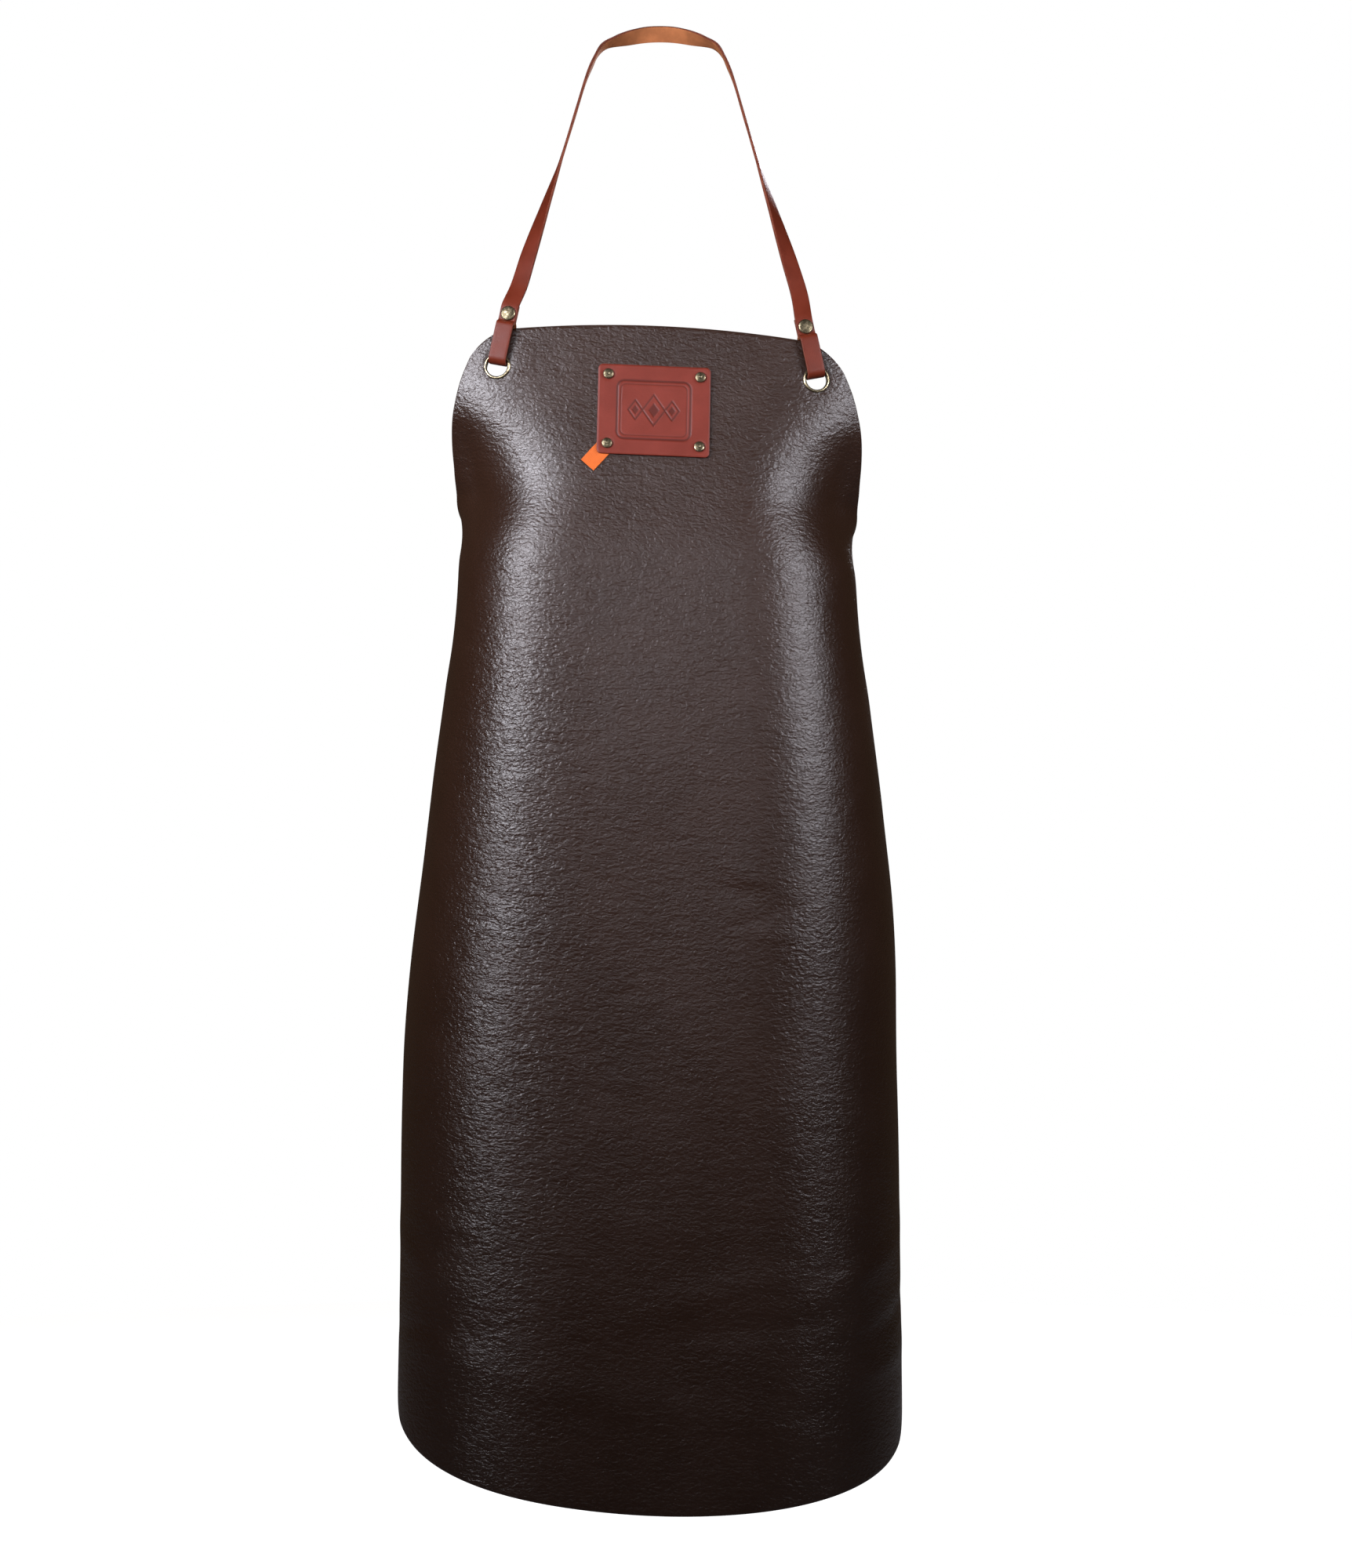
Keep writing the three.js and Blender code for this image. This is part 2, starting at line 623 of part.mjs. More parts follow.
function neckStrap() {
  const nape = new THREE.Vector3(0, Math.cos(NAPE_TILT), Math.sin(NAPE_TILT));
  const lift = nape.clone().multiplyScalar(STRAP_THICK / 2);
  const side = (sign, eyelet) => {
    const loop = eyeletLoop(eyelet, neckUp(eyelet, sign));
    const hook = loop.at(-1);
    const chest = eyelet.centre.clone();
    const stations = SHOULDER.map(([[x, y, z], [nx, ny, nz]]) => ({
      at: new THREE.Vector3(sign * x, y, z - HANG_SKEW * sign * x * (z / chest.z)),
      out: new THREE.Vector3(sign * nx, ny, nz).normalize(),
    }));
    const start = {
      at: new THREE.Vector3(sign * NAPE_FLAT, 0, 0).add(lift),
      out: nape,
      straight: new THREE.Vector3(1, 0, 0),
    };
    const run = [start, ...stations, hook];
    const curve = new THREE.CatmullRomCurve3(run.map(({ at }) => at), false, 'centripetal');
    const smoothRun = [];
    for (let i = 0; i < SHOULDER_STEPS; i += 1) {
      const u = (i / SHOULDER_STEPS) * (run.length - 1);
      const k = Math.floor(u);
      const face = run[k].out.clone().lerp(run[k + 1].out, u - k).normalize();
      smoothRun.push({ at: curve.getPoint(i / SHOULDER_STEPS), out: face });
    }
    smoothRun[0] = start;
    return [...smoothRun, ...loop.reverse()];
  };
  const left = side(-1, eyelets[0]);
  const right = side(1, eyelets[1]);
  const holes = [
    strapRivet('neck_rivet_left', eyelets[0], neckUp(eyelets[0], -1)),
    strapRivet('neck_rivet_right', eyelets[1], neckUp(eyelets[1], 1)),
  ];
  add('neck_strap', cut(strap([...left.reverse(), ...right]), holes), redStrap);
}

// ---- Waist strap and buckle ---------------------------------------------------------------

const backUp = new THREE.Vector3(0, 1, 0);
const beltZ = BIB_TOP_Z - WAIST_DROP;

function waistUp({ out }) {
  return backUp.clone().addScaledVector(out, -backUp.dot(out)).normalize();
}

// A station behind the wearer, at x and at n out from the line of the strap.
function behind(x, n, facingOut = [0, 1]) {
  return {
    at: new THREE.Vector3(x, BELT_BACK_Y + n, beltZ - HANG_SKEW * x),
    out: new THREE.Vector3(facingOut[0], facingOut[1], -HANG_SKEW * facingOut[0]).normalize(),
  };
}

// From a waist loop round to the straight stretch behind the wearer.
function waistRun(eyelet, sign, endLift) {
  const up = waistUp(eyelet);
  const loop = eyeletLoop(eyelet, up);
  const hook = loop.at(-1);
  const start = hook.at.clone().addScaledVector(up, LOOP_TAIL - CAP_RADIUS);
  const end = behind(sign * BELT_STRAIGHT, endLift);
  const elbow = new THREE.Vector3(start.x, end.at.y, (start.z + end.at.z) / 2);
  const curve = new THREE.CubicBezierCurve3(
    start,
    start.clone().lerp(elbow, 0.6),
    end.at.clone().lerp(elbow, 0.6),
    end.at,
  );
  const stations = [];
  for (let i = 0; i <= 9; i += 1) {
    const run = curve.getTangent(i / 9);
    const round = new THREE.Vector3(sign * run.y, -sign * run.x, 0).normalize();
    stations.push({
      at: curve.getPoint(i / 9),
      out: eyelet.out.clone().lerp(round, smooth(i / 4)).normalize(),
    });
  }
  return [...loop, ...stations];
}

const foldLayer = STRAP_THICK / 2 + GAP / 2;
const foldBend = BUCKLE_WIRE + GAP + STRAP_THICK / 2;
const rollerRadius = BUCKLE_WIRE + GAP + ROLLER_WALL;
const rollerX = BUCKLE_X + BUCKLE_LENGTH;
const tailOver = foldLayer + STRAP_THICK / 2 + GAP + CAP_HEIGHT + GAP + STRAP_THICK / 2;
const tailOverBar = Math.max(tailOver, foldBend + STRAP_THICK / 2 + GAP * 2 + STRAP_THICK / 2);
const tailUnder = -(rollerRadius + 3 * GAP + STRAP_THICK / 2);

function beltHole(x, n) {
  const slot = new THREE.BoxGeometry(HOLE_LENGTH, 2 * CUT_REACH, HOLE_WIDTH);
  slot.translate(x, BELT_BACK_Y + n, beltZ - HANG_SKEW * x);
  return slot;
}

// The buckle's half: loop, run round the back, and the fold over the buckle's bar.
function leftWaistStrap() {
  const stations = waistRun(eyelets[2], -1, foldLayer);
  stations.push(behind(FOLD_RIVET_X - 3, foldLayer));
  stations.push(behind(FOLD_RIVET_X + 6, foldLayer));
  for (let i = 0; i <= 8; i += 1) {
    const turn = Math.PI / 2 - (i / 8) * Math.PI;
    const way = [Math.cos(turn), Math.sin(turn)];
    stations.push(behind(BUCKLE_X + foldBend * way[0], foldBend * way[1], way));
  }
  stations.push(behind(FOLD_RIVET_X + 6, -foldLayer, [0, -1]));
  stations.push(behind(FOLD_END_X, -foldLayer, [0, -1]));
  const slot = new THREE.BoxGeometry(15, 14, 2 * PRONG_WIRE + 4 * GAP);
  slot.translate(BUCKLE_X + 2.5, BELT_BACK_Y, beltZ - HANG_SKEW * BUCKLE_X);
  const loopHole = strapRivet('waist_rivet_left', eyelets[2], waistUp(eyelets[2]));
  const foldAt = behind(FOLD_RIVET_X, 0).at;
  const half = STRAP_THICK + GAP / 2;
  rivet('fold_rivet', foldAt, backUp, -half, half, CAP_RADIUS, CAP_HEIGHT, CAP_POST);
  const foldHole = rivetHole(foldAt, backUp, CAP_POST);
  add('waist_strap_left', cut(strap(stations), [slot, loopHole, foldHole]), redStrap);
}

// Height of the free half as it passes under the roller and out over the fold.
function tailLift(x) {
  const share = smooth((rollerX - 4 - x) / (BUCKLE_LENGTH - 7));
  return tailUnder + share * (tailOverBar - tailUnder);
}

function rightWaistStrap() {
  const stations = waistRun(eyelets[3], 1, 0);
  const settle = 0.5 * (BELT_STRAIGHT + rollerX);
  stations.push(behind(settle, tailUnder * 0.3));
  stations.push(behind(rollerX + 14, tailUnder * 0.85));
  for (let x = rollerX + 4; x > BUCKLE_X - 2; x -= 2) stations.push(behind(x, tailLift(x)));
  stations.push(behind(FOLD_RIVET_X - CAP_RADIUS - 2, tailOver));
  stations.push(behind(TIP_X + 9, tailOver));
  for (const [back, narrow] of [[5, 0.92], [2, 0.7], [0, 0.3]]) {
    stations.push({ ...behind(TIP_X + back, tailOver), narrow });
  }
  const crossing = BUCKLE_X + BUCKLE_LENGTH * 0.3;
  const holes = [beltHole(crossing, tailLift(crossing))];
  for (let i = 0; i < HOLES_SHOWN; i += 1) {
    const x = i < 2 ? FOLD_RIVET_X - 14 - HOLE_PITCH * (i + 1) : crossing + HOLE_PITCH * i;
    holes.push(beltHole(x, i < 2 ? tailOver : 0));
  }
  holes.push(strapRivet('waist_rivet_right', eyelets[3], waistUp(eyelets[3])));
  add('waist_strap_right', cut(strap(stations), holes), redStrap);
}

// A round rod bent along points.
function wire(points, radius, sides, loop = false) {
  const rings = points.map((at, i) => {
    const count = points.length;
    const before = loop ? points[(i + count - 1) % count] : points[Math.max(0, i - 1)];
    const after = loop ? points[(i + 1) % count] : points[Math.min(count - 1, i + 1)];
    const run = after.clone().sub(before).normalize();
    const aside = loop ? new THREE.Vector3(0, 1, 0) : new THREE.Vector3(0, 0, 1);
    const other = new THREE.Vector3().crossVectors(run, aside).normalize();
    const ring = [];
    for (let k = 0; k < sides; k += 1) {
      const turn = (2 * Math.PI * k) / sides;
      ring.push(at.clone()
        .addScaledVector(aside, radius * Math.cos(turn))
        .addScaledVector(other, radius * Math.sin(turn)));
    }
    return ring;
  });
  return loft(rings, loop);
}

function makeBuckle() {
  const lean = Math.atan(HANG_SKEW);
  const centre = behind(BUCKLE_X + BUCKLE_LENGTH / 2, 0).at;
  const place = new THREE.Matrix4().makeRotationY(lean).setPosition(centre);
  const halfLong = BUCKLE_LENGTH / 2;
  const halfTall = BUCKLE_INSIDE / 2 + BUCKLE_WIRE;
  const corner = 2.5;
  const outline = [];
  for (const [a, b, first] of [[1, 1, 0], [-1, 1, 1], [-1, -1, 2], [1, -1, 3]]) {
    for (let i = 0; i <= 3; i += 1) {
      const turn = (first + i / 3) * Math.PI / 2;
      outline.push(new THREE.Vector3(
        a * (halfLong - corner) + corner * Math.cos(turn),
        0,
        b * (halfTall - corner) + corner * Math.sin(turn),
      ));
    }
  }
  add('buckle_frame', wire(outline, BUCKLE_WIRE, 10, true), agedBrass, place);

  const rollerHalf = BUCKLE_INSIDE / 2 - corner;
  const roller = turned([
    [BUCKLE_WIRE + GAP, -rollerHalf],
    [rollerRadius, -rollerHalf],
    [rollerRadius, rollerHalf],
    [BUCKLE_WIRE + GAP, rollerHalf],
  ], 16);
  roller.rotateX(Math.PI / 2);
  roller.translate(halfLong, 0, 0);
  add('buckle_roller', roller, agedBrass, place);

  const ring = BUCKLE_WIRE + GAP + PRONG_WIRE;
  const rest = rollerRadius + GAP + PRONG_WIRE;
  const points = [];
  for (let i = 0; i <= 9; i += 1) {
    const turn = Math.PI * (-0.12 - (i / 9) * 1.38);
    points.push(new THREE.Vector3(-halfLong + ring * Math.cos(turn), ring * Math.sin(turn), 0));
  }
  points.push(new THREE.Vector3(0, ring + 0.55 * (rest - ring), 0));
  points.push(new THREE.Vector3(halfLong + 1.5, rest, 0));
  add('buckle_prong', wire(points, PRONG_WIRE, 8), agedBrass, place);
}

// The leather loop that holds the free end down, round both layers of strap.
function makeKeeper() {
  const inX = STRAP_WIDTH / 2 + 2 * GAP;
  const low = foldLayer - STRAP_THICK / 2 - 2 * GAP;
  const high = tailOver + STRAP_THICK / 2 + 2 * GAP;
  const wall = KEEPER_THICK;
  const rings = [[inX, low], [inX, high], [-inX, high], [-inX, low]].map(([z, n]) => {
    const [outZ, outN] = [z + Math.sign(z) * wall, n === low ? n - wall : n + wall];
    return [[-1, z, n], [1, z, n], [1, outZ, outN], [-1, outZ, outN]].map(([end, c, d]) => (
      new THREE.Vector3(end * KEEPER_LENGTH / 2, d, c)
    ));
  });
  const place = new THREE.Matrix4().makeRotationY(Math.atan(HANG_SKEW));
  place.setPosition(behind(KEEPER_X, 0).at);
  add('keeper_loop', loft(rings, true), redStrap, place);
}

makePanel();
makeEyelets();
makePatchAndTag();
neckStrap();
leftWaistStrap();
rightWaistStrap();
makeBuckle();
makeKeeper();

export default part;
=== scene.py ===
"""A leather work apron: a hanging hide panel, riveted straps, a pressed patch and brass fittings.

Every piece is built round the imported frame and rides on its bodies. Sizes inside the shape
functions are in millimetres, and each mesh is written out in metres.
"""

import math

import bpy
import numpy as np
from bpy.props import FloatProperty, FloatVectorProperty, IntProperty, PointerProperty
from bpy.types import Operator, Panel, PropertyGroup
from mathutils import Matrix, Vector


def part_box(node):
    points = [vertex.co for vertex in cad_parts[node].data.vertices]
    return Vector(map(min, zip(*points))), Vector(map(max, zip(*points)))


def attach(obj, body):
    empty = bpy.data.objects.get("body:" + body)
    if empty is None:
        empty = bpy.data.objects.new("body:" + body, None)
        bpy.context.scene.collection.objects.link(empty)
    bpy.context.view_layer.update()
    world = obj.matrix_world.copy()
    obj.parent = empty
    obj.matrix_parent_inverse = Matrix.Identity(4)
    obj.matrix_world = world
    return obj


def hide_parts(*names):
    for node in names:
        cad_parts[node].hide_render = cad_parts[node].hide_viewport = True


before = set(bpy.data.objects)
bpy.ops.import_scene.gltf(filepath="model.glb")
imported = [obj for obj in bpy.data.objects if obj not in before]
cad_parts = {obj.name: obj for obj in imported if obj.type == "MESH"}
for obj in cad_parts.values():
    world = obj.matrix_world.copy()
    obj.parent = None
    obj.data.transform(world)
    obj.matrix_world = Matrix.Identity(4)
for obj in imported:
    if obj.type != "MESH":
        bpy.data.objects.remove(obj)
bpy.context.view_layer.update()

bl_info = {
    "name": "Leather work apron",
    "version": (1, 0, 0),
    "blender": (4, 5, 0),
    "location": "3D View > Sidebar > Apron",
    "description": "Builds a leather work apron round its packed frame",
    "category": "Add Mesh",
}

MM = 0.001

# Cut sizes of the hide, shared with the frame.
PANEL_LENGTH = 1002
PANEL_HALF_WIDTH = 298
PANEL_THICK = 2.5
BIB_TOP_Z = -279
BIB_HALF_WIDTH = 158
TOP_EDGE_RADIUS = 1240
TOP_CORNER = 26
HEM_RADIUS = 650
HEM_CORNER = 44
HANG_SKEW = 0.042
WAIST_DROP = 205
WAIST_EYELET_S = 270
NECK_EYELET_S = 135.5
NECK_EYELET_T = 40
EYELET_HOLE = 9.6
EYELET_SEAT = 12.6
SEAT_DEPTH = 0.5
HIDE_EDGE_WORN = 0.45

# Straps and their loops.
GAP = 0.3
STRAP_WIDTH = 15
STRAP_THICK = 2.4
EYELET_BORE = 8.8
LOOP_LEAN = 0.215
LOOP_RIVET = 46
LOOP_SPREAD = 4.9
LOOP_BEND = 3.9
LOOP_OPEN = 36
CAP_RADIUS = 6.25
CAP_HEIGHT = 2.4
LOOP_TAIL = CAP_RADIUS + 1.75
NAPE_TILT = 0.6
NAPE_FLAT = 10
BELT_BACK_Y = 42
BELT_STRAIGHT = 92
BUCKLE_X = 6
BUCKLE_LENGTH = 20
BUCKLE_WIRE = 1.5
BUCKLE_INSIDE = STRAP_WIDTH + 2.6
BUCKLE_CORNER = 2.5
PRONG_WIRE = 1
PRONG_SLOT = 15
PRONG_SLOT_AHEAD = 2.5
ROLLER_WALL = 0.9
FOLD_RIVET_X = -15
FOLD_END_X = -23
TIP_X = -86
HOLE_PITCH = 19
HOLE_LENGTH = 8.4
HOLE_WIDTH = 3.2
KEEPER_WALL = 1.8
KEEPER_LENGTH = 9.0
KEEPER_CORNER = 1.5

# Patch and ribbon tag.
PATCH_WIDTH = 95
PATCH_HEIGHT = 77
PATCH_THICK = 3
PATCH_S = -2.5
PATCH_T = 74
PATCH_CORNER = 4
PATCH_LEAN = 0.02
PATCH_RIVET_INSET = 8.6
PATCH_ROUND_OVER = 0.55
PATCH_RIVET_SINK = 0.28
PUNCH_DIMPLE = 0.75
TAG_WIDTH = 14.5
TAG_THICK = 0.9
TAG_CLOTH = 0.4
TAG_TUCK = 6
TAG_REACH = 25
TAG_ANGLE = 0.72

# Studio, with its places and sizes in metres.
CAMERA_PLACE = (0.0143, -3.4, -0.6677)
CAMERA_LENS = 87.54
FLOOR_RADIUS = 2.4
FLOOR_Z = -1.45
FLOOR_GLOW = 0.97
WARM_FILL = (0.055, 0.038, 0.024, 1)
WHITE = (1, 1, 1, 1)
LIGHT_TINT = (0.92, 0.92, 1.0)
SOFTBOXES = (
    # name, place, what it points at, width and height, power, spread in degrees
    ("left_softbox", (-1.37, -1.56, 0.05), (-0.1, -0.15, -0.25), (0.6, 0.95), 7.8, 60),
    ("left_chest_softbox", (-1.0, -1.9, 0.55), (-0.12, -0.17, -0.30), (0.5, 0.5), 0.7, 35),
    ("right_softbox", (1.37, -1.56, 0.05), (0.1, -0.15, -0.25), (0.4, 0.95), 3.0, 60),
    ("right_edge_softbox", (1.70, -1.15, -0.05), (0.1, -0.15, -0.25), (0.35, 0.7), 1.7, 60),
    ("front_softbox", (-0.2, -2.9, 0.0), (0, -0.2, -0.35), (1.2, 0.6), 0.8, 40),
    ("rear_softbox", (0.4, 2.3, 0.4), (0, 0, -0.5), (1.2, 0.9), 22, 120),
)


# ---- Settings a maker would change --------------------------------------------------------

class ApronSizes(PropertyGroup):
    """How finely the leather is modelled and how deep its marks are."""

    hide_columns: IntProperty(
        name="Hide columns", description="Strips of the hide from side to side",
        default=166, min=40, max=220)
    hide_rows: IntProperty(
        name="Hide rows", description="Strips of the hide from top to hem",
        default=282, min=60, max=400)
    fold_depth: FloatProperty(
        name="Fold depth", description="Height of the soft folds near the hem",
        default=0.0013, min=0.0, max=0.004, unit="LENGTH")
    wrinkle_depth: FloatProperty(
        name="Wrinkle depth", description="Depth of the small wrinkles in the hide",
        default=0.00022, min=0.0, max=0.001, unit="LENGTH")
    pebble_size: FloatProperty(
        name="Pebble size", description="Width of one pebble of the hide's grain",
        default=0.0017, min=0.0005, max=0.005, unit="LENGTH")
    motif_depth: FloatProperty(
        name="Motif depth", description="How far the motif is pressed into the patch",
        default=0.00045, min=0.0, max=0.001, unit="LENGTH")
    strap_step: FloatProperty(
        name="Strap step", description="Length of one ring of a strap",
        default=0.0018, min=0.0008, max=0.006, unit="LENGTH")


def colour(name, description, value):
    """A colour setting with its default."""
    return FloatVectorProperty(
        name=name, description=description, subtype="COLOR", size=3, min=0, max=1, default=value)


class ApronColours(PropertyGroup):
    """Base colours of each finish."""

    hide: colour("Hide", "Grain side of the hide", (0.0210, 0.0081, 0.0042))
    hide_flesh: colour("Hide flesh side", "Suede back of the hide", (0.095, 0.058, 0.042))
    strap: colour("Strap", "Grain side of the straps", (0.104, 0.0150, 0.0055))
    strap_flesh: colour("Strap flesh side", "Undyed back of the straps", (0.38, 0.135, 0.050))
    strap_edge: colour("Strap edge", "Cut edges of the straps", (0.135, 0.036, 0.019))
    patch: colour("Patch", "Grain side of the patch", (0.132, 0.0185, 0.0100))
    ribbon: colour("Ribbon", "Woven tag", (0.60, 0.112, 0.006))
    # On the eyelets the rubbed colour also serves as a painted highlight, and the aged colour as
    # painted shade.
    brass_bright: colour("Rubbed brass", "Raised edges of the fittings", (0.44, 0.37, 0.235))
    brass_dark: colour("Aged brass", "Recesses of the fittings", (0.07, 0.058, 0.035))


# ---- The hang of the hide -----------------------------------------------------------------

def smooth(x):
    """An eased step from 0 to 1 as x goes from 0 to 1."""
    u = np.clip(x, 0.0, 1.0)
    return u * u * (3 - 2 * u)


def through(stations):
    """A smooth curve through stations of (drop, value), with no overshoot between them."""
    at = np.array([s[0] for s in stations], float)
    value = np.array([s[1] for s in stations], float)
    slope = np.diff(value) / np.diff(at)
    tangent = np.concatenate([slope[:1], slope[1:] * 0, slope[-1:]])
    a, b = slope[:-1], slope[1:]
    same_way = a * b > 0
    tangent[1:-1] = np.where(same_way, 2 * a * b / np.where(same_way, a + b, 1), 0)

    def curve(t):
        t = np.asarray(t, float)
        i = np.clip(np.searchsorted(at, t, side="right") - 1, 0, len(at) - 2)
        h = at[i + 1] - at[i]
        u = np.clip((t - at[i]) / h, 0, 1)
        w = 1 - u
        return (value[i] * (1 + 2 * u) * w * w + tangent[i] * h * u * w * w
                + value[i + 1] * u * u * (3 - 2 * u) + tangent[i + 1] * h * u * u * (u - 1))
    return curve


half_width = through([
    (0, BIB_HALF_WIDTH - 14), (TOP_CORNER + 8, BIB_HALF_WIDTH + 2), (52, BIB_HALF_WIDTH + 10),
    (72, BIB_HALF_WIDTH + 17), (98, BIB_HALF_WIDTH + 26), (132, BIB_HALF_WIDTH + 40),
    (WAIST_DROP - 52, PANEL_HALF_WIDTH - 82), (WAIST_DROP - 31, PANEL_HALF_WIDTH - 50),
    (WAIST_DROP - 14, PANEL_HALF_WIDTH - 20), (WAIST_DROP, PANEL_HALF_WIDTH - 8),
    (WAIST_DROP + 35, PANEL_HALF_WIDTH - 3), (WAIST_DROP + 95, PANEL_HALF_WIDTH),
    (PANEL_LENGTH, PANEL_HALF_WIDTH),
])
turn_start = through([(0, 60), (60, 60), (130, 45), (WAIST_DROP, 58), (PANEL_LENGTH, 60)])
turn_end = through([
    (0, 470), (40, 430), (75, 355), (105, 282), (130, 247), (150, 231),
    (WAIST_DROP, WAIST_EYELET_S - 24), (WAIST_DROP + 35, WAIST_EYELET_S - 20),
    (WAIST_DROP + 95, WAIST_EYELET_S - 9), (WAIST_DROP + 195, WAIST_EYELET_S + 13),
    (WAIST_DROP + 355, WAIST_EYELET_S + 39), (WAIST_DROP + 515, WAIST_EYELET_S + 49),
    (PANEL_LENGTH, WAIST_EYELET_S + 54),
])
front_y = through([
    (0, -163), (60, -173), (140, -188), (WAIST_DROP, -198), (400, -205), (PANEL_LENGTH, -205),
])
sway = through([(0, -2), (450, -2), (640, -8), (PANEL_LENGTH, -8.5)])

TURN_ANGLE = math.pi / 2
PINCH = 0.3
PINCH_REACH = 110
FLARE = 0.55
STEP = 2.0


def hang_table():
    """Middle points and outward directions of the hide on a table of 2 mm steps."""
    drops = np.arange(-12, PANEL_LENGTH + 14, STEP)
    reach = np.arange(0, PANEL_HALF_WIDTH + 22, STEP)
    t = drops[:, None]
    mid = reach[None, :-1] + STEP / 2
    start, end = turn_start(t), turn_end(t)
    pinch = PINCH * smooth(1 - np.abs(t - WAIST_DROP) / PINCH_REACH)
    flare = FLARE * smooth((t - 50) / 70) * smooth((WAIST_DROP - 8 - t) / 72)
    angle = (TURN_ANGLE * smooth((mid - start) / (end - start))
             + pinch * (smooth((mid - WAIST_EYELET_S + 70) / 18)
                        - smooth((mid - WAIST_EYELET_S + 38) / 16))
             - flare * smooth((mid - BIB_HALF_WIDTH - 4) / 22))
    zero = np.zeros((len(drops), 1))
    x = np.hstack([zero, np.cumsum(STEP * np.cos(angle), 1)])
    y = front_y(t) + np.hstack([zero, np.cumsum(STEP * np.sin(angle), 1)])
    x = np.hstack([-x[:, :0:-1], x])
    y = np.hstack([y[:, :0:-1], y])
    z = BIB_TOP_Z - t - HANG_SKEW * x
    middle = np.stack([x + sway(t), y, z], -1)
    along = np.gradient(middle, axis=1)
    down = np.gradient(middle, axis=0)
    out = np.cross(down, along)
    out /= np.linalg.norm(out, axis=-1, keepdims=True)
    return drops[0], -reach[-1], middle, out


TABLE_T, TABLE_S, MIDDLE, OUT = hang_table()


def from_table(table, s, t):
    """Values of a hang table between its steps, at s along the hide and t down it."""
    s, t = np.broadcast_arrays(np.asarray(s, float), np.asarray(t, float))
    row = np.clip((t - TABLE_T) / STEP, 0, table.shape[0] - 1.001)
    column = np.clip((s - TABLE_S) / STEP, 0, table.shape[1] - 1.001)
    i, j = row.astype(int), column.astype(int)
    u, w = (row - i)[..., None], (column - j)[..., None]
    return ((table[i, j] * (1 - w) + table[i, j + 1] * w) * (1 - u)
            + (table[i + 1, j] * (1 - w) + table[i + 1, j + 1] * w) * u)


def unit(v):
    """Directions scaled to length 1."""
    return v / np.maximum(np.linalg.norm(v, axis=-1, keepdims=True), 1e-12)


def on_leather(s, t, lift=0.0):
    """Points lifted off the middle of the hide, at s along it and t down it."""
    out = unit(from_table(OUT, s, t))
    return from_table(MIDDLE, s, t) + out * np.asarray(lift, float)[..., None]


def leather_frame(s, t):
    """The middle of the hide at one place, with its along, down and out directions."""
    at = on_leather(s, t)
    along = unit(on_leather(s + 1, t) - on_leather(s - 1, t))
    down = unit(on_leather(s, t + 1) - on_leather(s, t - 1))
    return at, along, down, unit(np.cross(down, along))


# ---- Meshes -------------------------------------------------------------------------------

def make_object(name, points_mm, faces, materials, face_material=None, uv_mm=None,
                wear=None, body=None, stands_for=(), smooth_angle=40):
    """A mesh from points in millimetres, with its finishes, riding on its body."""
    mesh = bpy.data.meshes.new(name)
    mesh.from_pydata((np.asarray(points_mm, float) * MM).tolist(), [], faces)
    for material in materials:
        mesh.materials.append(material)
    if face_material is not None:
        mesh.polygons.foreach_set("material_index", np.asarray(face_material, np.int32))
    if uv_mm is not None:
        layer = mesh.uv_layers.new(name="UVMap")
        corner = np.zeros(len(mesh.loops), np.int32)
        mesh.loops.foreach_get("vertex_index", corner)
        layer.data.foreach_set("uv", (np.asarray(uv_mm, float)[corner] * MM).ravel())
    # On the eyelets this per-point wear mask also holds painted shade and a painted highlight.
    if wear is not None:
        layer = mesh.attributes.new("wear", "FLOAT", "POINT")
        layer.data.foreach_set("value", np.asarray(wear, np.float32))
    mesh.validate()
    mesh.update()
    piece = bpy.data.objects.new(name, mesh)
    bpy.context.scene.collection.objects.link(piece)
    shade(piece, smooth_angle)
    if body:
        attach(piece, body)
    if stands_for:
        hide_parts(*stands_for)
    return piece


def shade(piece, smooth_angle):
    """Shade a piece smooth, but for edges sharper than an angle in degrees."""
    mesh = piece.data
    mesh.polygons.foreach_set("use_smooth", [True] * len(mesh.polygons))
    mesh.set_sharp_from_angle(angle=math.radians(smooth_angle))


def keep_outward(piece):
    """Turn a closed mesh's faces outward."""
    mesh = piece.data
    volume = 0.0
    for face in mesh.polygons:
        volume += face.center.dot(face.normal) * face.area
    if volume < 0:
        mesh.flip_normals()


def walled(outer, inner, faces):
    """Points and faces of a closed skin over an outer and inner layer of one face grid.

    Returns the points, the faces and each face's kind: 0 outer, 1 inner, 2 the cut edge.
    """
    count = len(outer)
    edge_use = {}
    for face in faces:
        for a, b in zip(face, face[1:] + face[:1]):
            edge_use[(a, b)] = edge_use.get((a, b), 0) + 1
    rim = [(a, b) for (a, b) in edge_use if (b, a) not in edge_use]
    back = [tuple(v + count for v in reversed(face)) for face in faces]
    edge = [(b, a, a + count, b + count) for a, b in rim]
    kinds = [0] * len(faces) + [1] * len(back) + [2] * len(edge)
    return np.vstack([outer, inner]), list(faces) + back + edge, kinds


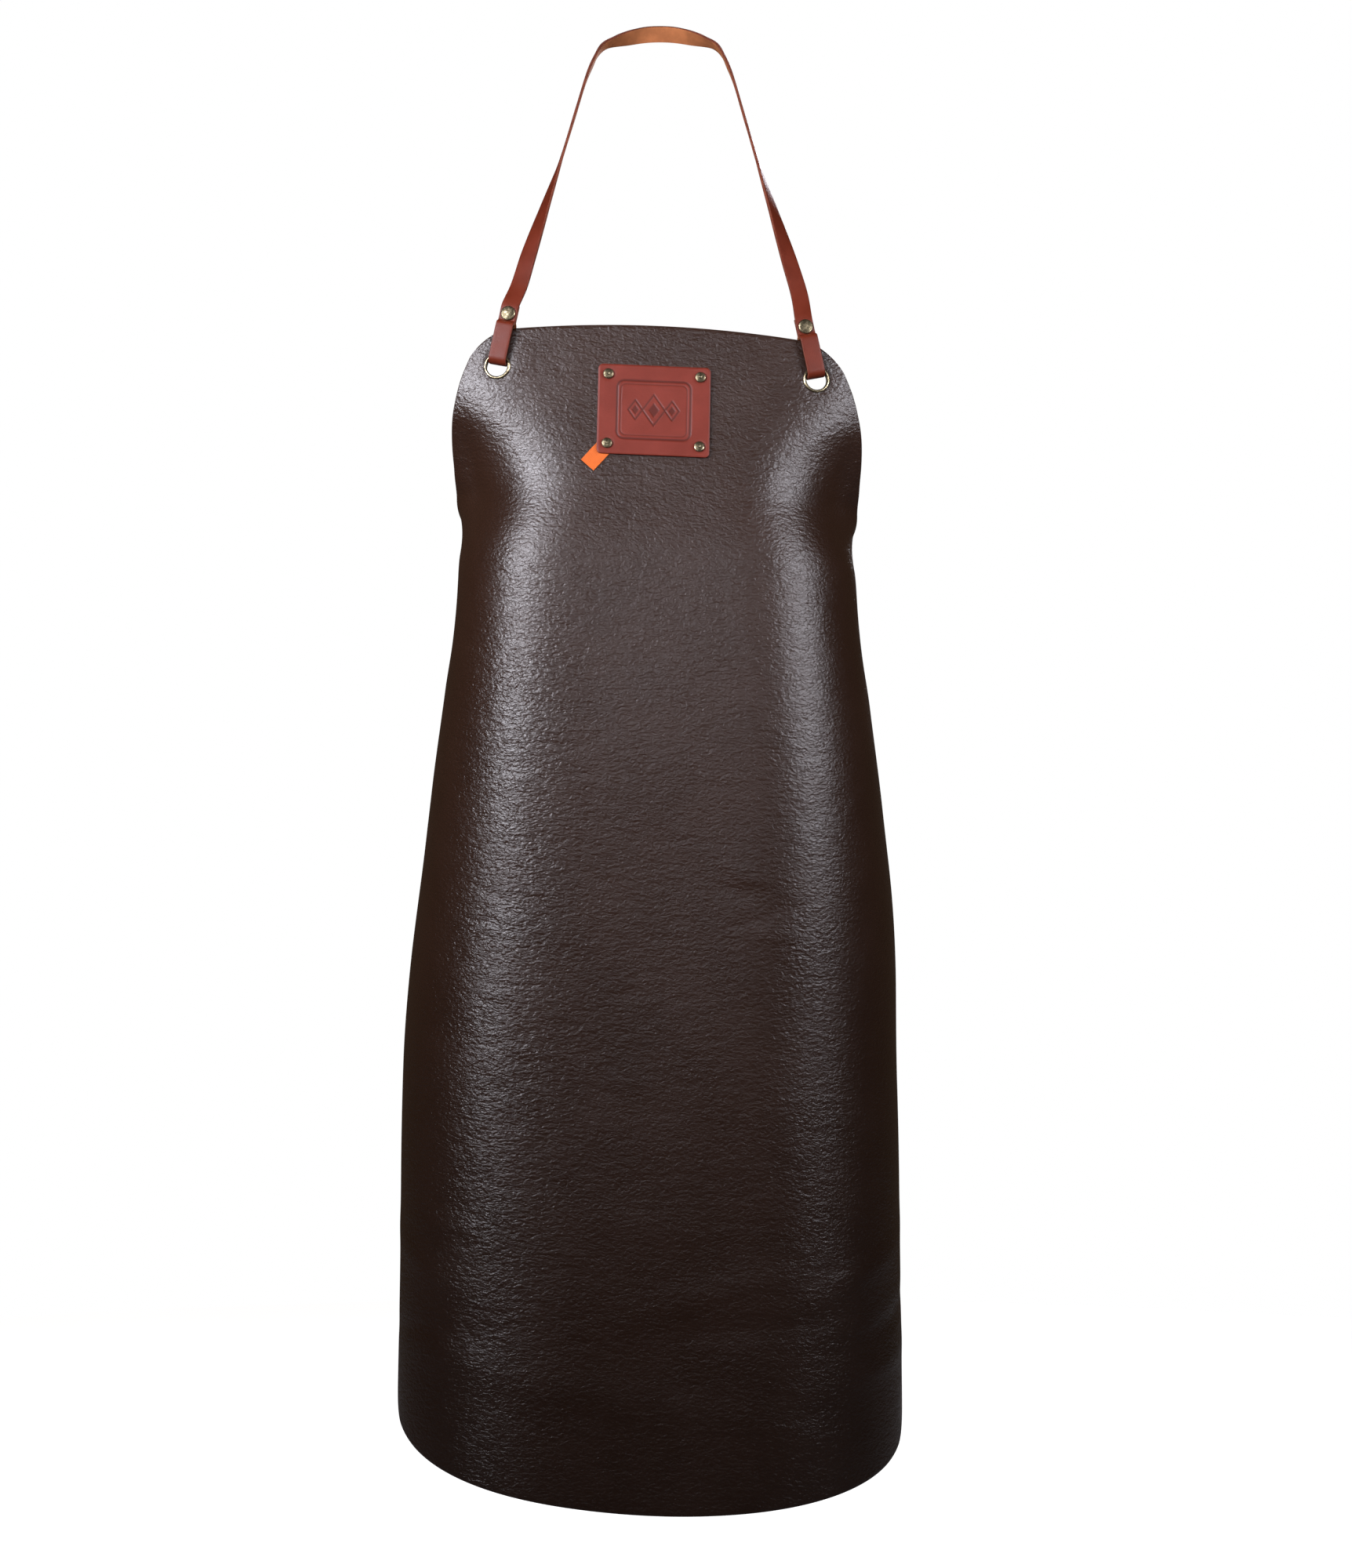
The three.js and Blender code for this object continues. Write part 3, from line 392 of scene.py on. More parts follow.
def lathe(profile, sides):
    """Points and faces turned from a closed outline of (radius, height), about local Z."""
    profile = np.asarray(profile, float)
    turn = np.linspace(0, 2 * math.pi, sides, endpoint=False)
    points, rings = [], []
    for radius, height in profile:
        if radius < 1e-6:
            rings.append([len(points)] * sides)
            points.append((0.0, 0.0, height))
        else:
            rings.append(list(range(len(points), len(points) + sides)))
            points += [(radius * math.cos(a), radius * math.sin(a), height) for a in turn]
    faces = []
    for i, ring in enumerate(rings):
        other = rings[(i + 1) % len(rings)]
        for k in range(sides):
            n = (k + 1) % sides
            face = [ring[k], ring[n], other[n], other[k]]
            face = [v for m, v in enumerate(face) if v != face[m - 1]]
            if len(face) > 2:
                faces.append(tuple(face))
    return np.array(points), faces


def rounded(outline, times=2):
    """A closed outline with its corners cut back in turn, except on the axis."""
    points = [tuple(p) for p in outline]
    for _ in range(times):
        cut = []
        for a, b in zip(points, points[1:] + points[:1]):
            a, b = np.array(a, float), np.array(b, float)
            if a[0] < 1e-6 and b[0] < 1e-6:
                cut += [tuple(a), tuple(b)]
                continue
            cut.append(tuple(a) if a[0] < 1e-6 else tuple(0.78 * a + 0.22 * b))
            cut.append(tuple(b) if b[0] < 1e-6 else tuple(0.22 * a + 0.78 * b))
        points = cut
    return points


def basis_for(axis):
    """A turn that takes local Z to the given axis."""
    return np.array(Vector((0, 0, 1)).rotation_difference(Vector(axis)).to_matrix())


def node_points(name):
    """The frame's own points of a node, in millimetres."""
    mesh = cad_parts[name].data
    co = np.zeros(len(mesh.vertices) * 3, np.float32)
    mesh.vertices.foreach_get("co", co)
    return co.reshape(-1, 3).astype(float) / MM


def turned_piece(name, node, centre, axis, profile, sides, wear, body):
    """A brass piece turned from its outline about an axis, worn as wear says: rubbing, and on the
    eyelets painted shade and highlight.
    """
    points, faces = lathe(profile, sides)
    placed = points @ basis_for(axis).T + centre
    piece = make_object(name, placed, faces, [finish("aged_brass")], wear=wear(points),
                        body=body, stands_for=(node,), smooth_angle=32)
    keep_outward(piece)


def resampled(points, outs, step, closed=False, extra=None):
    """A strap's line through its stations, evenly spaced, with its facing eased between them."""
    points, outs = np.asarray(points, float), unit(np.asarray(outs, float))
    extra = np.ones(len(points)) if extra is None else np.asarray(extra, float)
    if closed:
        points, outs, extra = (np.concatenate([v, v[:1]]) for v in (points, outs, extra))
    count = len(points)
    fine_points, fine_outs, fine_extra = [], [], []
    for k in range(count - 1):
        p1, p2 = points[k], points[k + 1]
        if closed:
            p0, p3 = points[k - 1 if k else count - 2], points[(k + 2) if k + 2 < count else 1]
        else:
            p0 = points[k - 1] if k else 2 * p1 - p2
            p3 = points[k + 2] if k + 2 < count else 2 * p2 - p1
        d0, d1, d2 = (max(np.linalg.norm(b - a) ** 0.5, 1e-4)
                      for a, b in ((p0, p1), (p1, p2), (p2, p3)))
        m1 = ((p1 - p0) / d0 - (p2 - p0) / (d0 + d1) + (p2 - p1) / d1) * d1
        m2 = ((p2 - p1) / d1 - (p3 - p1) / (d1 + d2) + (p3 - p2) / d2) * d1
        parts = max(1, int(math.ceil(np.linalg.norm(p2 - p1) / step)))
        for i in range(parts):
            u = i / parts
            fine_points.append(p1 + m1 * u + (3 * (p2 - p1) - 2 * m1 - m2) * u * u
                               + (2 * (p1 - p2) + m1 + m2) * u ** 3)
            fine_outs.append(unit(outs[k] * (1 - u) + outs[k + 1] * u))
            fine_extra.append(extra[k] * (1 - u) + extra[k + 1] * u)
    if not closed:
        fine_points.append(points[-1])
        fine_outs.append(outs[-1])
        fine_extra.append(extra[-1])
    return np.array(fine_points), np.array(fine_outs), np.array(fine_extra)


def eased(values, times, closed=False):
    """Values along a strap with their small kinks taken out, ends kept."""
    values = values.copy()
    for _ in range(times):
        if closed:
            values = (np.roll(values, 1, 0) + 2 * values + np.roll(values, -1, 0)) / 4
        else:
            values[1:-1] = (values[:-2] + 2 * values[1:-1] + values[2:]) / 4
    return values


def strap_section(width, thick, corner):
    """Outline of a strap: (across, out) pairs with their kinds, and the distance round it."""
    w, h, c = width / 2, thick / 2, corner
    crown = 0.05
    grain = [(w - c - (2 * w - 2 * c) * i / 8, h + crown * (1 - (i / 4 - 1) ** 2))
             for i in range(9)]
    far = [(-w + c * 0.3, h - c * 0.3), (-w, h - c), (-w - 0.04, 0), (-w, -h + c),
           (-w + c * 0.3, -h + c * 0.3)]
    flesh = [(-a, -b + crown) for a, b in grain]
    near = [(-a, -b) for a, b in far]
    points = grain + far + flesh + near
    kinds = [0] * 8 + [0] + [2] * 4 + [1] + [1] * 8 + [1] + [2] * 4 + [0]
    return np.array(points), kinds


def strap_piece(name, stations, width, thick, materials, body, stands_for,
                step, closed=False, corner=0.4, ease=3, section=None):
    """A leather strap along its stations of (point, facing, share of width)."""
    at = [s[0] for s in stations]
    outs = [s[1] for s in stations]
    narrow = [s[2] if len(s) > 2 else 1.0 for s in stations]
    at, outs, narrow = resampled(at, outs, step, closed, narrow)
    outs = unit(eased(outs, ease, closed))
    if closed:
        run = unit(np.roll(at, -1, 0) - np.roll(at, 1, 0))
    else:
        run = unit(np.gradient(at, axis=0))
    face = unit(outs - run * np.sum(outs * run, -1, keepdims=True))
    across = np.cross(run, face)
    outline, kinds = section or strap_section(width, thick, corner)
    count, around = len(at), len(outline)
    rings = (at[:, None] + across[:, None] * (outline[:, 0] * narrow[:, None])[..., None]
             + face[:, None] * outline[None, :, 1, None])
    length = np.concatenate([[0], np.cumsum(np.linalg.norm(np.diff(at, axis=0), axis=1))])
    girth = np.concatenate([[0], np.cumsum(np.linalg.norm(np.diff(outline, axis=0), axis=1))])
    uv = np.stack(np.broadcast_arrays(length[:, None], girth[None, :]), -1).reshape(-1, 2)
    faces, face_kinds = [], []
    for i in range(count if closed else count - 1):
        here, there = i * around, ((i + 1) % count) * around
        for j in range(around):
            k = (j + 1) % around
            faces.append((here + j, there + j, there + k, here + k))
            face_kinds.append(kinds[j])
    if not closed:
        faces.append(tuple(range(around)))
        faces.append(tuple(reversed(range((count - 1) * around, count * around))))
        face_kinds += [2, 2]
    return make_object(name, rings.reshape(-1, 3), faces, materials, face_kinds, uv,
                       body=body, stands_for=stands_for, smooth_angle=50)


# ---- Finishes -----------------------------------------------------------------------------

class Nodes:
    """A material's node tree, with short calls for the nodes these finishes use."""

    def __init__(self, name):
        self.material = bpy.data.materials.new(name)
        self.material.use_nodes = True
        self.tree = self.material.node_tree
        self.tree.nodes.clear()
        self.shader = self.tree.nodes.new("ShaderNodeBsdfPrincipled")
        output = self.tree.nodes.new("ShaderNodeOutputMaterial")
        self.tree.links.new(self.shader.outputs["BSDF"], output.inputs["Surface"])

    def put(self, socket, value):
        """Link a socket to another one, or set its value."""
        if isinstance(value, bpy.types.NodeSocket):
            self.tree.links.new(value, socket)
        elif isinstance(value, (tuple, list)) and len(value) == 3 and socket.type == "RGBA":
            socket.default_value = (*value, 1)
        else:
            socket.default_value = value

    def coords(self, kind="UV", stretch=None):
        node = self.tree.nodes.new("ShaderNodeTexCoord")
        if stretch is None:
            return node.outputs[kind]
        mapping = self.tree.nodes.new("ShaderNodeMapping")
        mapping.inputs["Scale"].default_value = stretch
        self.tree.links.new(node.outputs[kind], mapping.inputs["Vector"])
        return mapping.outputs["Vector"]

    def noise(self, where, scale, detail=3.0, rough=0.55, distortion=0.0):
        node = self.tree.nodes.new("ShaderNodeTexNoise")
        self.put(node.inputs["Vector"], where)
        node.inputs["Scale"].default_value = scale
        node.inputs["Detail"].default_value = detail
        node.inputs["Roughness"].default_value = rough
        node.inputs["Distortion"].default_value = distortion
        return node.outputs["Fac"]

    def cells(self, where, scale, feature="DISTANCE_TO_EDGE"):
        node = self.tree.nodes.new("ShaderNodeTexVoronoi")
        node.feature = feature
        self.put(node.inputs["Vector"], where)
        node.inputs["Scale"].default_value = scale
        return node.outputs["Distance"]

    def bands(self, where, scale, axis="X", distortion=0.0):
        node = self.tree.nodes.new("ShaderNodeTexWave")
        node.bands_direction = axis
        self.put(node.inputs["Vector"], where)
        node.inputs["Scale"].default_value = scale
        node.inputs["Distortion"].default_value = distortion
        return node.outputs["Fac"]

    def spread(self, value, low, high, to_low=0.0, to_high=1.0):
        node = self.tree.nodes.new("ShaderNodeMapRange")
        node.interpolation_type = "SMOOTHSTEP"
        self.put(node.inputs["Value"], value)
        node.inputs["From Min"].default_value = low
        node.inputs["From Max"].default_value = high
        node.inputs["To Min"].default_value = to_low
        node.inputs["To Max"].default_value = to_high
        return node.outputs["Result"]

    def sum_of(self, a, b, operation="ADD"):
        node = self.tree.nodes.new("ShaderNodeMath")
        node.operation = operation
        self.put(node.inputs[0], a)
        self.put(node.inputs[1], b)
        return node.outputs[0]

    def blend(self, share, a, b):
        node = self.tree.nodes.new("ShaderNodeMix")
        node.data_type = "RGBA"
        self.put(node.inputs["Factor"], share)
        self.put(node.inputs["A"], a)
        self.put(node.inputs["B"], b)
        return node.outputs["Result"]

    def shifted(self, where, by, amount):
        """Coordinates pushed about by a noise, so that cells lose their straight sides."""
        node = self.tree.nodes.new("ShaderNodeTexNoise")
        self.put(node.inputs["Vector"], where)
        node.inputs["Scale"].default_value = by
        add = self.tree.nodes.new("ShaderNodeVectorMath")
        add.operation = "MULTIPLY_ADD"
        self.tree.links.new(node.outputs["Color"], add.inputs[0])
        add.inputs[1].default_value = (amount, amount, 0)
        self.tree.links.new(where, add.inputs[2])
        return add.outputs["Vector"]

    def attribute(self, name):
        node = self.tree.nodes.new("ShaderNodeAttribute")
        node.attribute_name = name
        return node.outputs["Fac"]

    def bump(self, height, strength, distance, under=None):
        node = self.tree.nodes.new("ShaderNodeBump")
        node.inputs["Strength"].default_value = strength
        node.inputs["Distance"].default_value = distance
        self.tree.links.new(height, node.inputs["Height"])
        if under is not None:
            self.tree.links.new(under, node.inputs["Normal"])
        return node.outputs["Normal"]

    def set_shader(self, **values):
        """Set or link the shader's sockets, named with underscores, and give the material."""
        for socket, value in values.items():
            self.put(self.shader.inputs[socket.replace("_", " ")], value)
        return self.material


def scaled(colour_value, by):
    """A colour made lighter or darker."""
    return tuple(min(1.0, c * by) for c in colour_value)


def hide_grain(name, colours, sizes):
    """Smooth brown hide: fine pebbles in creases, long faint growth lines, satin waxed gloss."""
    n = Nodes(name)
    uv = n.coords()
    bent = n.shifted(uv, 1 / (3.2 * sizes.pebble_size), 0.9 * sizes.pebble_size)
    dimples = n.noise(n.coords(stretch=(0.85, 1.2, 1)), 0.62 / sizes.pebble_size, 2, 0.42, 0.6)
    pores = n.spread(n.cells(bent, 1.6 / sizes.pebble_size), 0.0, 0.2)
    growth = n.noise(n.coords(stretch=(1.0, 2.2, 1)), 60, 4, 0.6, 0.5)
    wavy = n.noise(n.coords(stretch=(0.8, 1.7, 1)), 190, 2, 0.45, 0.9)
    crease = n.sum_of(n.spread(wavy, 0.32, 0.62), n.attribute("wear"), "MULTIPLY")
    mottle = n.noise(uv, 14, 3, 0.6)
    broad = n.noise(uv, 4.5, 2, 0.5)
    tone = n.blend(n.spread(mottle, 0.3, 0.72), scaled(colours.hide, 0.9),
                   scaled(colours.hide, 1.1))
    tone = n.blend(n.spread(broad, 0.3, 0.7, 0.0, 0.25), tone, scaled(colours.hide, 1.3))
    tone = n.blend(n.spread(pores, 0, 1, 0.3, 0), tone, scaled(colours.hide, 0.5))
    gloss = n.sum_of(n.spread(mottle, 0.25, 0.75, 0.285, 0.345),
                     n.spread(pores, 0, 1, 0.05, 0.0))
    surface = n.bump(growth, 0.4, 0.0016)
    surface = n.bump(crease, 0.55, 0.00055, surface)
    surface = n.bump(dimples, 0.5, 0.0011, surface)
    surface = n.bump(pores, 0.2, 0.00008, surface)
    return n.set_shader(Base_Color=tone, Roughness=gloss, Normal=surface, Specular_IOR_Level=0.5)


def hide_flesh(name, colours):
    """The suede back of the hide: brushed nap with darker rubbed patches."""
    n = Nodes(name)
    uv = n.coords()
    nap = n.noise(n.coords(stretch=(1, 2.4, 1)), 900, 5, 0.7)
    cloud = n.noise(uv, 26, 4, 0.65, 0.4)
    tone = n.blend(n.spread(cloud, 0.3, 0.7), scaled(colours.hide_flesh, 0.72),
                   scaled(colours.hide_flesh, 1.2))
    tone = n.blend(n.spread(nap, 0.35, 0.65, 0, 0.3), tone, scaled(colours.hide_flesh, 1.7))
    surface = n.bump(nap, 0.5, 0.0004)
    return n.set_shader(Base_Color=tone, Roughness=0.93, Normal=surface, Specular_IOR_Level=0.18,
                        Sheen_Weight=0.25, Sheen_Roughness=0.6)


def hide_edge(name, colours):
    """Raw cut edge of the hide: fibrous, with the dye gone into it unevenly."""
    n = Nodes(name)
    place = n.coords("Object")
    fibre = n.noise(place, 1500, 4, 0.7)
    cloud = n.noise(place, 60, 3)
    tone = n.blend(n.spread(cloud, 0.35, 0.65), scaled(colours.hide, 0.9),
                   scaled(colours.hide_flesh, 0.85))
    surface = n.bump(fibre, 0.6, 0.0003)
    return n.set_shader(Base_Color=tone, Roughness=n.spread(fibre, 0.3, 0.7, 0.62, 0.85),
                        Normal=surface, Specular_IOR_Level=0.3)


def tanned_grain(name, base, pressed=False):
    """Vegetable-tanned leather with its colour pulled up in places and fine long creases."""
    n = Nodes(name)
    uv = n.coords()
    creases = n.noise(n.coords(stretch=(1.0, 2.6, 1)), 420, 4, 0.65, 0.5)
    pores = n.spread(n.cells(uv, 1150, "F1"), 0.05, 0.5)
    cloud = n.noise(uv, 46, 4, 0.6, 0.3)
    tone = n.blend(n.spread(cloud, 0.3, 0.72), scaled(base, 0.9), scaled(base, 1.09))
    tone = n.blend(n.spread(creases, 0.58, 0.78, 0, 0.25), tone, scaled(base, 0.6))
    if pressed:
        tone = n.blend(n.spread(n.attribute("wear"), 0.05, 0.9, 0, 0.8), tone,
                       scaled(base, 0.36))
    surface = n.bump(creases, 0.16, 0.0005)
    surface = n.bump(pores, 0.2, 0.00008, surface)
    return n.set_shader(Base_Color=tone, Roughness=n.spread(cloud, 0.25, 0.75, 0.40, 0.52),
                        Normal=surface, Specular_IOR_Level=0.24)


def tanned_flesh(name, base):
    """Undyed flesh side or raw edge of tanned leather."""
    n = Nodes(name)
    fibre = n.noise(n.coords("Object"), 1300, 5, 0.7)
    cloud = n.noise(n.coords("Object"), 70, 4, 0.6)
    tone = n.blend(n.spread(cloud, 0.3, 0.7), scaled(base, 0.78), scaled(base, 1.12))
    tone = n.blend(n.spread(fibre, 0.4, 0.65, 0, 0.1), tone, scaled(base, 0.6))
    surface = n.bump(fibre, 0.14, 0.0002)
    return n.set_shader(Base_Color=tone, Roughness=0.88, Normal=surface, Specular_IOR_Level=0.2)


def grosgrain(name, base):
    """Ribbon with close ribs across it and a soft thread sheen."""
    n = Nodes(name)
    uv = n.coords()
    ribs = n.bands(uv, 330, "X", 0.15)
    warp = n.bands(uv, 700, "Y", 0.2)
    cloud = n.noise(uv, 160, 3)
    tone = n.blend(n.spread(ribs, 0.1, 0.8), scaled(base, 0.55), base)
    tone = n.blend(n.spread(cloud, 0.35, 0.7, 0, 0.25), tone, scaled(base, 1.3))
    surface = n.bump(ribs, 0.6, 0.0002)
    surface = n.bump(warp, 0.3, 0.00008, surface)
    return n.set_shader(Base_Color=tone, Roughness=0.62, Normal=surface, Sheen_Weight=0.1,
                        Sheen_Roughness=0.4, Specular_IOR_Level=0.35)


def aged_brass(name, bright, dark):
    """Antique brass: dark in its recesses, rubbed bright on raised rims, finely scratched; on the
    eyelets the mask also holds painted shade and a painted highlight.
    """
    n = Nodes(name)
    place = n.coords("Object")
    stain = n.noise(place, 420, 4, 0.65)
    scratch = n.noise(n.coords("Object", (1, 1, 9)), 1600, 3, 0.6)
    # The per-point mask is rubbing, and on the eyelets painted shade on the inner lip and a
    # painted highlight on the outer rim.
    rub_and_painted_light = n.sum_of(n.attribute("wear"), n.spread(stain, 0.3, 0.7, -0.3, 0.3))
    rub_and_painted_light = n.spread(rub_and_painted_light, 0.1, 0.95)
    tone = n.blend(rub_and_painted_light, dark, bright)
    gloss = n.sum_of(n.spread(rub_and_painted_light, 0, 1, 0.46, 0.24), n.spread(scratch, 0.3, 0.7, -0.03, 0.06))
    surface = n.bump(stain, 0.12, 0.0002)
    surface = n.bump(scratch, 0.06, 0.00008, surface)
    return n.set_shader(Base_Color=tone, Roughness=gloss, Metallic=1.0, Normal=surface)


def finish(name):
    """One of the apron's materials, made when it is first asked for."""
    if name in bpy.data.materials:
        return bpy.data.materials[name]
    sizes = bpy.context.scene.apron_sizes
    colours = bpy.context.scene.apron_colours
    makers = {
        "hide_grain": lambda: hide_grain(name, colours, sizes),
        "hide_flesh": lambda: hide_flesh(name, colours),
        "hide_edge": lambda: hide_edge(name, colours),
        "strap_grain": lambda: tanned_grain(name, colours.strap),
        "strap_flesh": lambda: tanned_flesh(name, colours.strap_flesh),
        "strap_edge": lambda: tanned_flesh(name, colours.strap_edge),
        "patch_grain": lambda: tanned_grain(name, colours.patch, pressed=True),
        "patch_edge": lambda: tanned_flesh(name, scaled(colours.patch, 0.7)),
        "woven_ribbon": lambda: grosgrain(name, tuple(colours.ribbon)),
        "aged_brass": lambda: aged_brass(name, tuple(colours.brass_bright),
                                         tuple(colours.brass_dark)),
    }
    return makers[name]()


# ---- The hide -----------------------------------------------------------------------------

def edge_drop(x, half, arc_radius, corner_radius):
    """How far a flat arc has fallen at x, with the rounded corner beyond it."""
    reach = np.minimum(x, half)
    arc = arc_radius - np.sqrt(arc_radius ** 2 - reach ** 2)
    past = np.maximum(0, reach - (half - corner_radius))
    return arc + corner_radius - np.sqrt(np.maximum(0, corner_radius ** 2 - past ** 2))


EYELETS = {
    "neck_left": (-NECK_EYELET_S, NECK_EYELET_T),
    "neck_right": (NECK_EYELET_S, NECK_EYELET_T),
    "waist_left": (-WAIST_EYELET_S, WAIST_DROP),
    "waist_right": (WAIST_EYELET_S, WAIST_DROP),
}


def hide_cut(columns, rows):
    """The cut hide laid flat: a grid of (s, t) with extra lines close to its edges."""
    u = np.linspace(-1, 1, columns + 1)
    p = np.sign(u) * (1 - (1 - np.abs(u)) ** 1.4)
    v = np.linspace(0, 1, rows + 1)
    v = np.insert(v, [1, rows], [0.0008, 0.9992])
    bib = float(half_width(TOP_CORNER + 8))
    top = edge_drop(np.abs(p) * bib, bib, TOP_EDGE_RADIUS, TOP_CORNER)
    hem = edge_drop(np.abs(p) * PANEL_HALF_WIDTH, PANEL_HALF_WIDTH, HEM_RADIUS, HEM_CORNER)
    t = top[None, :] + (PANEL_LENGTH - hem - top)[None, :] * v[:, None]
    s = p[None, :] * half_width(t)
    return s, t


def ridge(s, t, at, angle, long, wide, height):
    """One soft ridge or groove: long along its angle, narrow across it."""
    ds, dt = s - at[0], t - at[1]
    a = ds * math.cos(angle) + dt * math.sin(angle)
    b = -ds * math.sin(angle) + dt * math.cos(angle)
    return height * np.exp(-(a / long) ** 2 - (b / wide) ** 2)


def hide_relief(s, t, fold_depth, wrinkle_depth):
    """Relief of the hide in mm: broad unevenness, soft folds by the hem, dents and wrinkles.

    Folds and dents are (place, angle, length, width, height). The relief dies away round the
    eyelets and the patch, so that these lie flat on the hide.
    """
    lift = 0.35 * np.sin(s / 47 + 0.6) * np.sin(t / 83 + 1.1)
    lift = lift + 0.22 * np.sin(s / 29 + t / 61 + 2.0)
    low = smooth((t - 690) / 160)
    lift = lift * (1 + low)
    folds = [
        ((-225, 800), 0.32, 62, 13, 1.0), ((-232, 862), -0.10, 50, 10, -0.8),
        ((-175, 880), 0.20, 55, 15, 0.8), ((60, 812), -0.30, 80, 15, 0.8),
        ((95, 842), -0.12, 66, 11, -0.7), ((205, 790), -0.35, 70, 12, 1.1),
        ((238, 838), -0.28, 60, 10, -1.0), ((222, 876), -0.20, 64, 12, 0.9),
        ((-40, 905), 0.15, 95, 17, 0.6), ((130, 930), 0.22, 70, 14, 0.6),
        ((-180, 770), 0.05, 44, 9, 0.5), ((10, 760), 0.1, 60, 16, 0.4),
    ]
    for at, angle, long, wide, share in folds:
        lift = lift + ridge(s, t, at, angle, long, wide, fold_depth * share)
    dents = [
        ((78, 480), 0.25, 26, 7, -0.8), ((92, 496), -0.35, 22, 6, -0.7),
        ((70, 458), 0.5, 18, 6, 0.5), ((100, 512), 0.1, 16, 5, 0.45),
        ((150, 400), -0.5, 30, 9, -0.3), ((-20, 640), 0.2, 30, 8, 0.3),
        ((64, 300), 0.1, 30, 12, -0.35),
    ]
    for at, angle, long, wide, height in dents:
        lift = lift + ridge(s, t, at, angle, long, wide, height)
    pick = np.random.default_rng(11)
    for _ in range(230):
        side = pick.random()
        at = (pick.normal(-128, 42) if side < 0.72 else pick.uniform(-60, 250),
              pick.uniform(190, 860) if side < 0.72 else pick.uniform(250, 930))
        lift = lift + ridge(s, t, at, pick.normal(0.12, 0.28), pick.uniform(7, 24),
                            pick.uniform(2.3, 4.2), wrinkle_depth * pick.uniform(-1.6, -0.5))
    calm = np.ones_like(lift)
    for es, et in EYELETS.values():
        calm = calm * smooth((np.hypot(s - es, t - et) - 15) / 30)
    aside = np.maximum(np.abs(s - PATCH_S) - PATCH_WIDTH / 2, 0)
    below = np.maximum(np.abs(t - PATCH_T) - PATCH_HEIGHT / 2, 0)
    calm = calm * smooth((np.hypot(aside, below) - 8) / 26)
    return lift * calm


class APRON_OT_hide(Operator):
    """Build the hide panel with its eyelet holes, raw edges, folds and wrinkles"""

    bl_idname = "apron.hide"
    bl_label = "Hide panel"

    def execute(self, context):
        sizes = context.scene.apron_sizes
        s, t = hide_cut(sizes.hide_columns, sizes.hide_rows)
        rows, columns = s.shape
        s, t = s.ravel(), t.ravel()
        inside = np.zeros(len(s), bool)
        for es, et in EYELETS.values():
            ds, dt = s - es, t - et
            reach = np.hypot(ds, dt)
            hole = reach < EYELET_HOLE
            near = hole & (reach > 1e-6)
            inside |= hole
            s[near] = es + ds[near] / reach[near] * EYELET_HOLE
            t[near] = et + dt[near] / reach[near] * EYELET_HOLE
        faces = []
        for i in range(rows - 1):
            for j in range(columns - 1):
                a = i * columns + j
                face = (a, a + columns, a + columns + 1, a + 1)
                if not all(inside[v] for v in face):
                    faces.append(face)
        used = np.unique(np.array(faces))
        place = np.full(len(s), -1)
        place[used] = np.arange(len(used))
        faces = [tuple(int(place[v]) for v in face) for face in faces]
        border = np.zeros((rows, columns), bool)
        border[[0, -1], :] = border[:, [0, -1]] = True
        border = border.ravel()[used]
        s, t = s[used], t[used]

        relief = hide_relief(s, t, sizes.fold_depth / MM, sizes.wrinkle_depth / MM)
        half = np.full(len(s), PANEL_THICK / 2)
        for es, et in EYELETS.values():
            half -= SEAT_DEPTH * (np.hypot(s - es, t - et) < EYELET_SEAT)
        half -= HIDE_EDGE_WORN * border
        outer = on_leather(s, t, relief + half)
        inner = on_leather(s, t, relief - half)
        points, skin, kinds = walled(outer, inner, faces)
        uv = np.stack([s, t], -1)
        # The wearing creases are deepest down the left side, below the bib.
        creased = 0.30 + 0.70 * (smooth((t - 150) / 160) * smooth((-s - 35) / 60)
                                 * (1 - 0.5 * smooth((t - 640) / 240)))
        panel = make_object(
            "hide_panel", points, skin,
            [finish("hide_grain"), finish("hide_flesh"), finish("hide_edge")], kinds,
            np.vstack([uv, uv]), np.concatenate([creased, creased]), "apron",
            ("apron_panel",), smooth_angle=60)
        # The corners of each face of the flat hide, with its eyelet holes left out.
        index = np.array(faces)
        a, b, c, d = (uv[index[:, k]] for k in range(4))
        return {"FINISHED"}


# ---- Patch and tag ------------------------------------------------------------------------

PATCH_UNDER = PANEL_THICK / 2 + GAP


def patch_place(across, drop):
    """Where a point of the patch lies on the hide, as (s, t)."""
    return PATCH_S + across - PATCH_LEAN * drop, PATCH_T + drop


def rounded_box(a, b, half_a, half_b, corner):
    """Signed distance from a rounded rectangle, below zero inside."""
    qa, qb = np.abs(a) - half_a + corner, np.abs(b) - half_b + corner
    return (np.hypot(np.maximum(qa, 0), np.maximum(qb, 0))
            + np.minimum(np.maximum(qa, qb), 0) - corner)


def pressed_motif(a, b):
    """Pressed lines of the patch, 0 to 1: a double border and a plain row of lozenges."""
    def line(distance, wide):
        return 1 - smooth((np.abs(distance) - wide / 2) / 0.55)
    mark = line(rounded_box(a, b, 31, 25, 6), 1.0)
    mark = np.maximum(mark, 0.7 * line(rounded_box(a, b, 28, 22, 4.5), 0.5))
    for centre, size in ((-15.5, 6.0), (0, 9.5), (15.5, 6.0)):
        lozenge = np.abs(a - centre) + np.abs(b) * 0.72 - size
        mark = np.maximum(mark, line(lozenge, 1.0))
        mark = np.maximum(mark, 0.8 * (1 - smooth((lozenge + size * 0.55) / 0.6)))
    return mark


